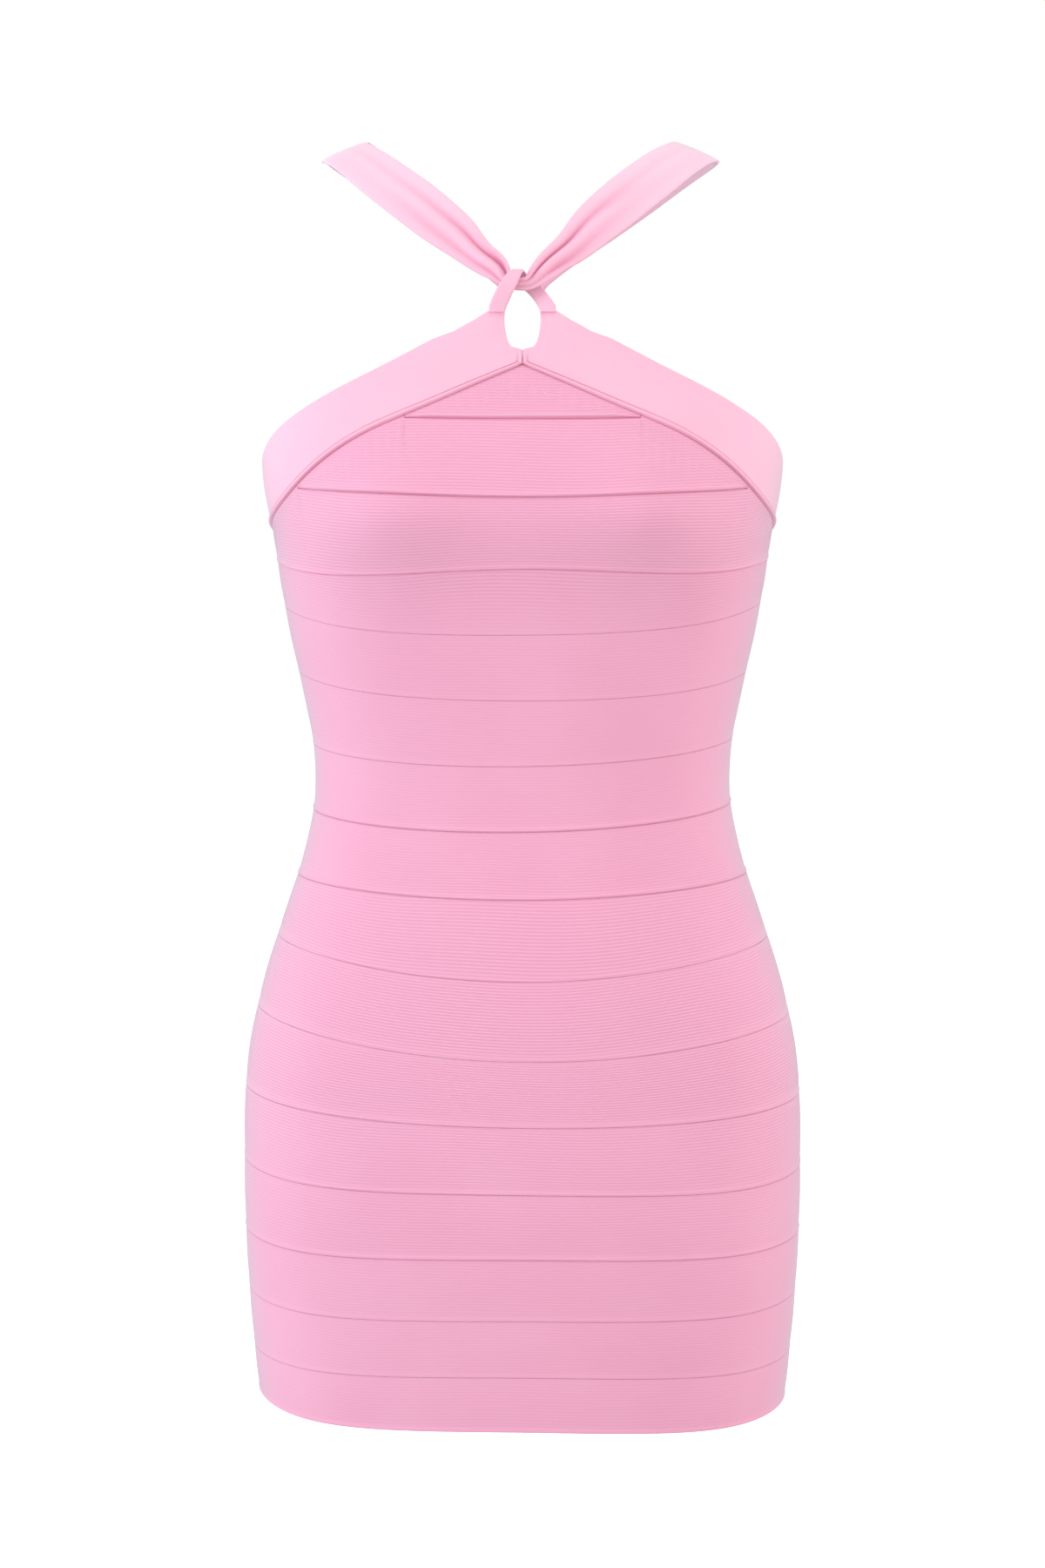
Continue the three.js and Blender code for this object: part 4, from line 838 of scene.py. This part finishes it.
def enamel():
    """The slider and its pull: pink enamel on metal, thinner and shinier in places."""
    made, shader, add, link = nodes_of("pink_enamel")
    shader.inputs["Coat Weight"].default_value = 0.6
    shader.inputs["Coat Roughness"].default_value = 0.12
    place = add("TexCoord")
    mottle = add("TexNoise", {"Vector": place.outputs["Object"], "Scale": 400.0, "Detail": 3.0})
    colour = add("Mix", {0: mottle.outputs[0], 6: (0.76, 0.27, 0.42, 1), 7: (0.84, 0.36, 0.5, 1)}, data_type="RGBA")
    link(colour.outputs[2], "Base Color")
    rough = add("MapRange", {"Value": mottle.outputs[0], "To Min": 0.28, "To Max": 0.45})
    link(rough.outputs[0], "Roughness")
    return made


# Stage

AROUND = 0.6
LIGHTS = (  # place, aim, width, height, watts and colour
    ("left_light", (-2.4, -1.1, -0.35), (0, 0, -0.4), 1.2, 2.2, 62, (0.80, 0.98, 1.0)),
    ("right_light", (2.4, -1.1, -0.35), (0, 0, -0.4), 1.2, 2.2, 44, (0.92, 1.0, 0.92)),
    ("top_light", (0, -0.9, 2.2), (0, 0, -0.3), 2.0, 1.4, 20, (1.0, 1.0, 1.0)),
    ("front_light", (0, -3.2, 1.0), (0, 0, -0.4), 2.4, 1.4, 6, (1.0, 1.0, 1.0)),
)


def stage():
    """A plain pale floor well below the dress, soft light from both sides and the front, and the camera."""
    size, level = 30.0, -1.25
    mesh = bpy.data.meshes.new("floor")
    mesh.from_pydata([(-size, -size, level), (size, -size, level), (size, size, level), (-size, size, level)], [],
                     [(0, 1, 2, 3)])
    made, shader, _, _ = nodes_of("pale_floor")
    shader.inputs["Base Color"].default_value = (0.95, 0.95, 0.95, 1)
    shader.inputs["Roughness"].default_value = 0.9
    shader.inputs["Emission Color"].default_value = (1, 1, 1, 1)
    shader.inputs["Emission Strength"].default_value = 0.65
    mesh.materials.append(made)
    floor = bpy.data.objects.new("floor", mesh)
    floor.visible_diffuse = floor.visible_glossy = False
    bpy.context.scene.collection.objects.link(floor)

    # White where the camera sees it, and a weaker light from all round on the cloth.
    world = bpy.data.worlds.new("white_studio")
    world.use_nodes = True
    tree = world.node_tree
    white = tree.nodes["Background"]
    white.inputs["Color"].default_value = (1, 1, 1, 1)
    path, level = tree.nodes.new("ShaderNodeLightPath"), tree.nodes.new("ShaderNodeMapRange")
    level.inputs["To Min"].default_value, level.inputs["To Max"].default_value = AROUND, 1.0
    tree.links.new(path.outputs["Is Camera Ray"], level.inputs["Value"])
    tree.links.new(level.outputs[0], white.inputs["Strength"])
    bpy.context.scene.world = world

    for name, place, aim, wide, tall, power, colour in LIGHTS:
        lamp = bpy.data.lights.new(name, "AREA")
        lamp.shape, lamp.size, lamp.size_y, lamp.energy, lamp.color = "RECTANGLE", wide, tall, power, colour
        light = bpy.data.objects.new(name, lamp)
        light.visible_camera = False
        direction = Vector(aim) - Vector(place)
        light.location, light.rotation_euler = place, direction.to_track_quat("-Z", "Y").to_euler()
        bpy.context.scene.collection.objects.link(light)

    eye = bpy.data.cameras.new("camera")
    eye.sensor_width, eye.lens = 36, 83.72
    camera = bpy.data.objects.new("camera", eye)
    camera.location = (0.0, -2.3, -0.2965)
    camera.rotation_euler = (math.radians(90 - 2.7), 0, 0)
    bpy.context.scene.collection.objects.link(camera)
    bpy.context.scene.camera = camera
    bpy.context.scene.view_settings.view_transform = "Standard"


stage()
knit, smooth = bandage_knit(), smooth_knit()
for number in range(1, STRIPS + 1):
    knit_strip(number, knit)
neckband(-1, smooth)
neckband(1, smooth)
straps(smooth)
weave = zip_weave()
zip_tape(-1, weave)
zip_tape(1, weave)
zip_coil(nylon())
topstitching(weave)
metal = enamel()
for name in ("zip_slider", "zip_pull"):
    round_edges(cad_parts[name], metal)

bpy.context.view_layer.update()
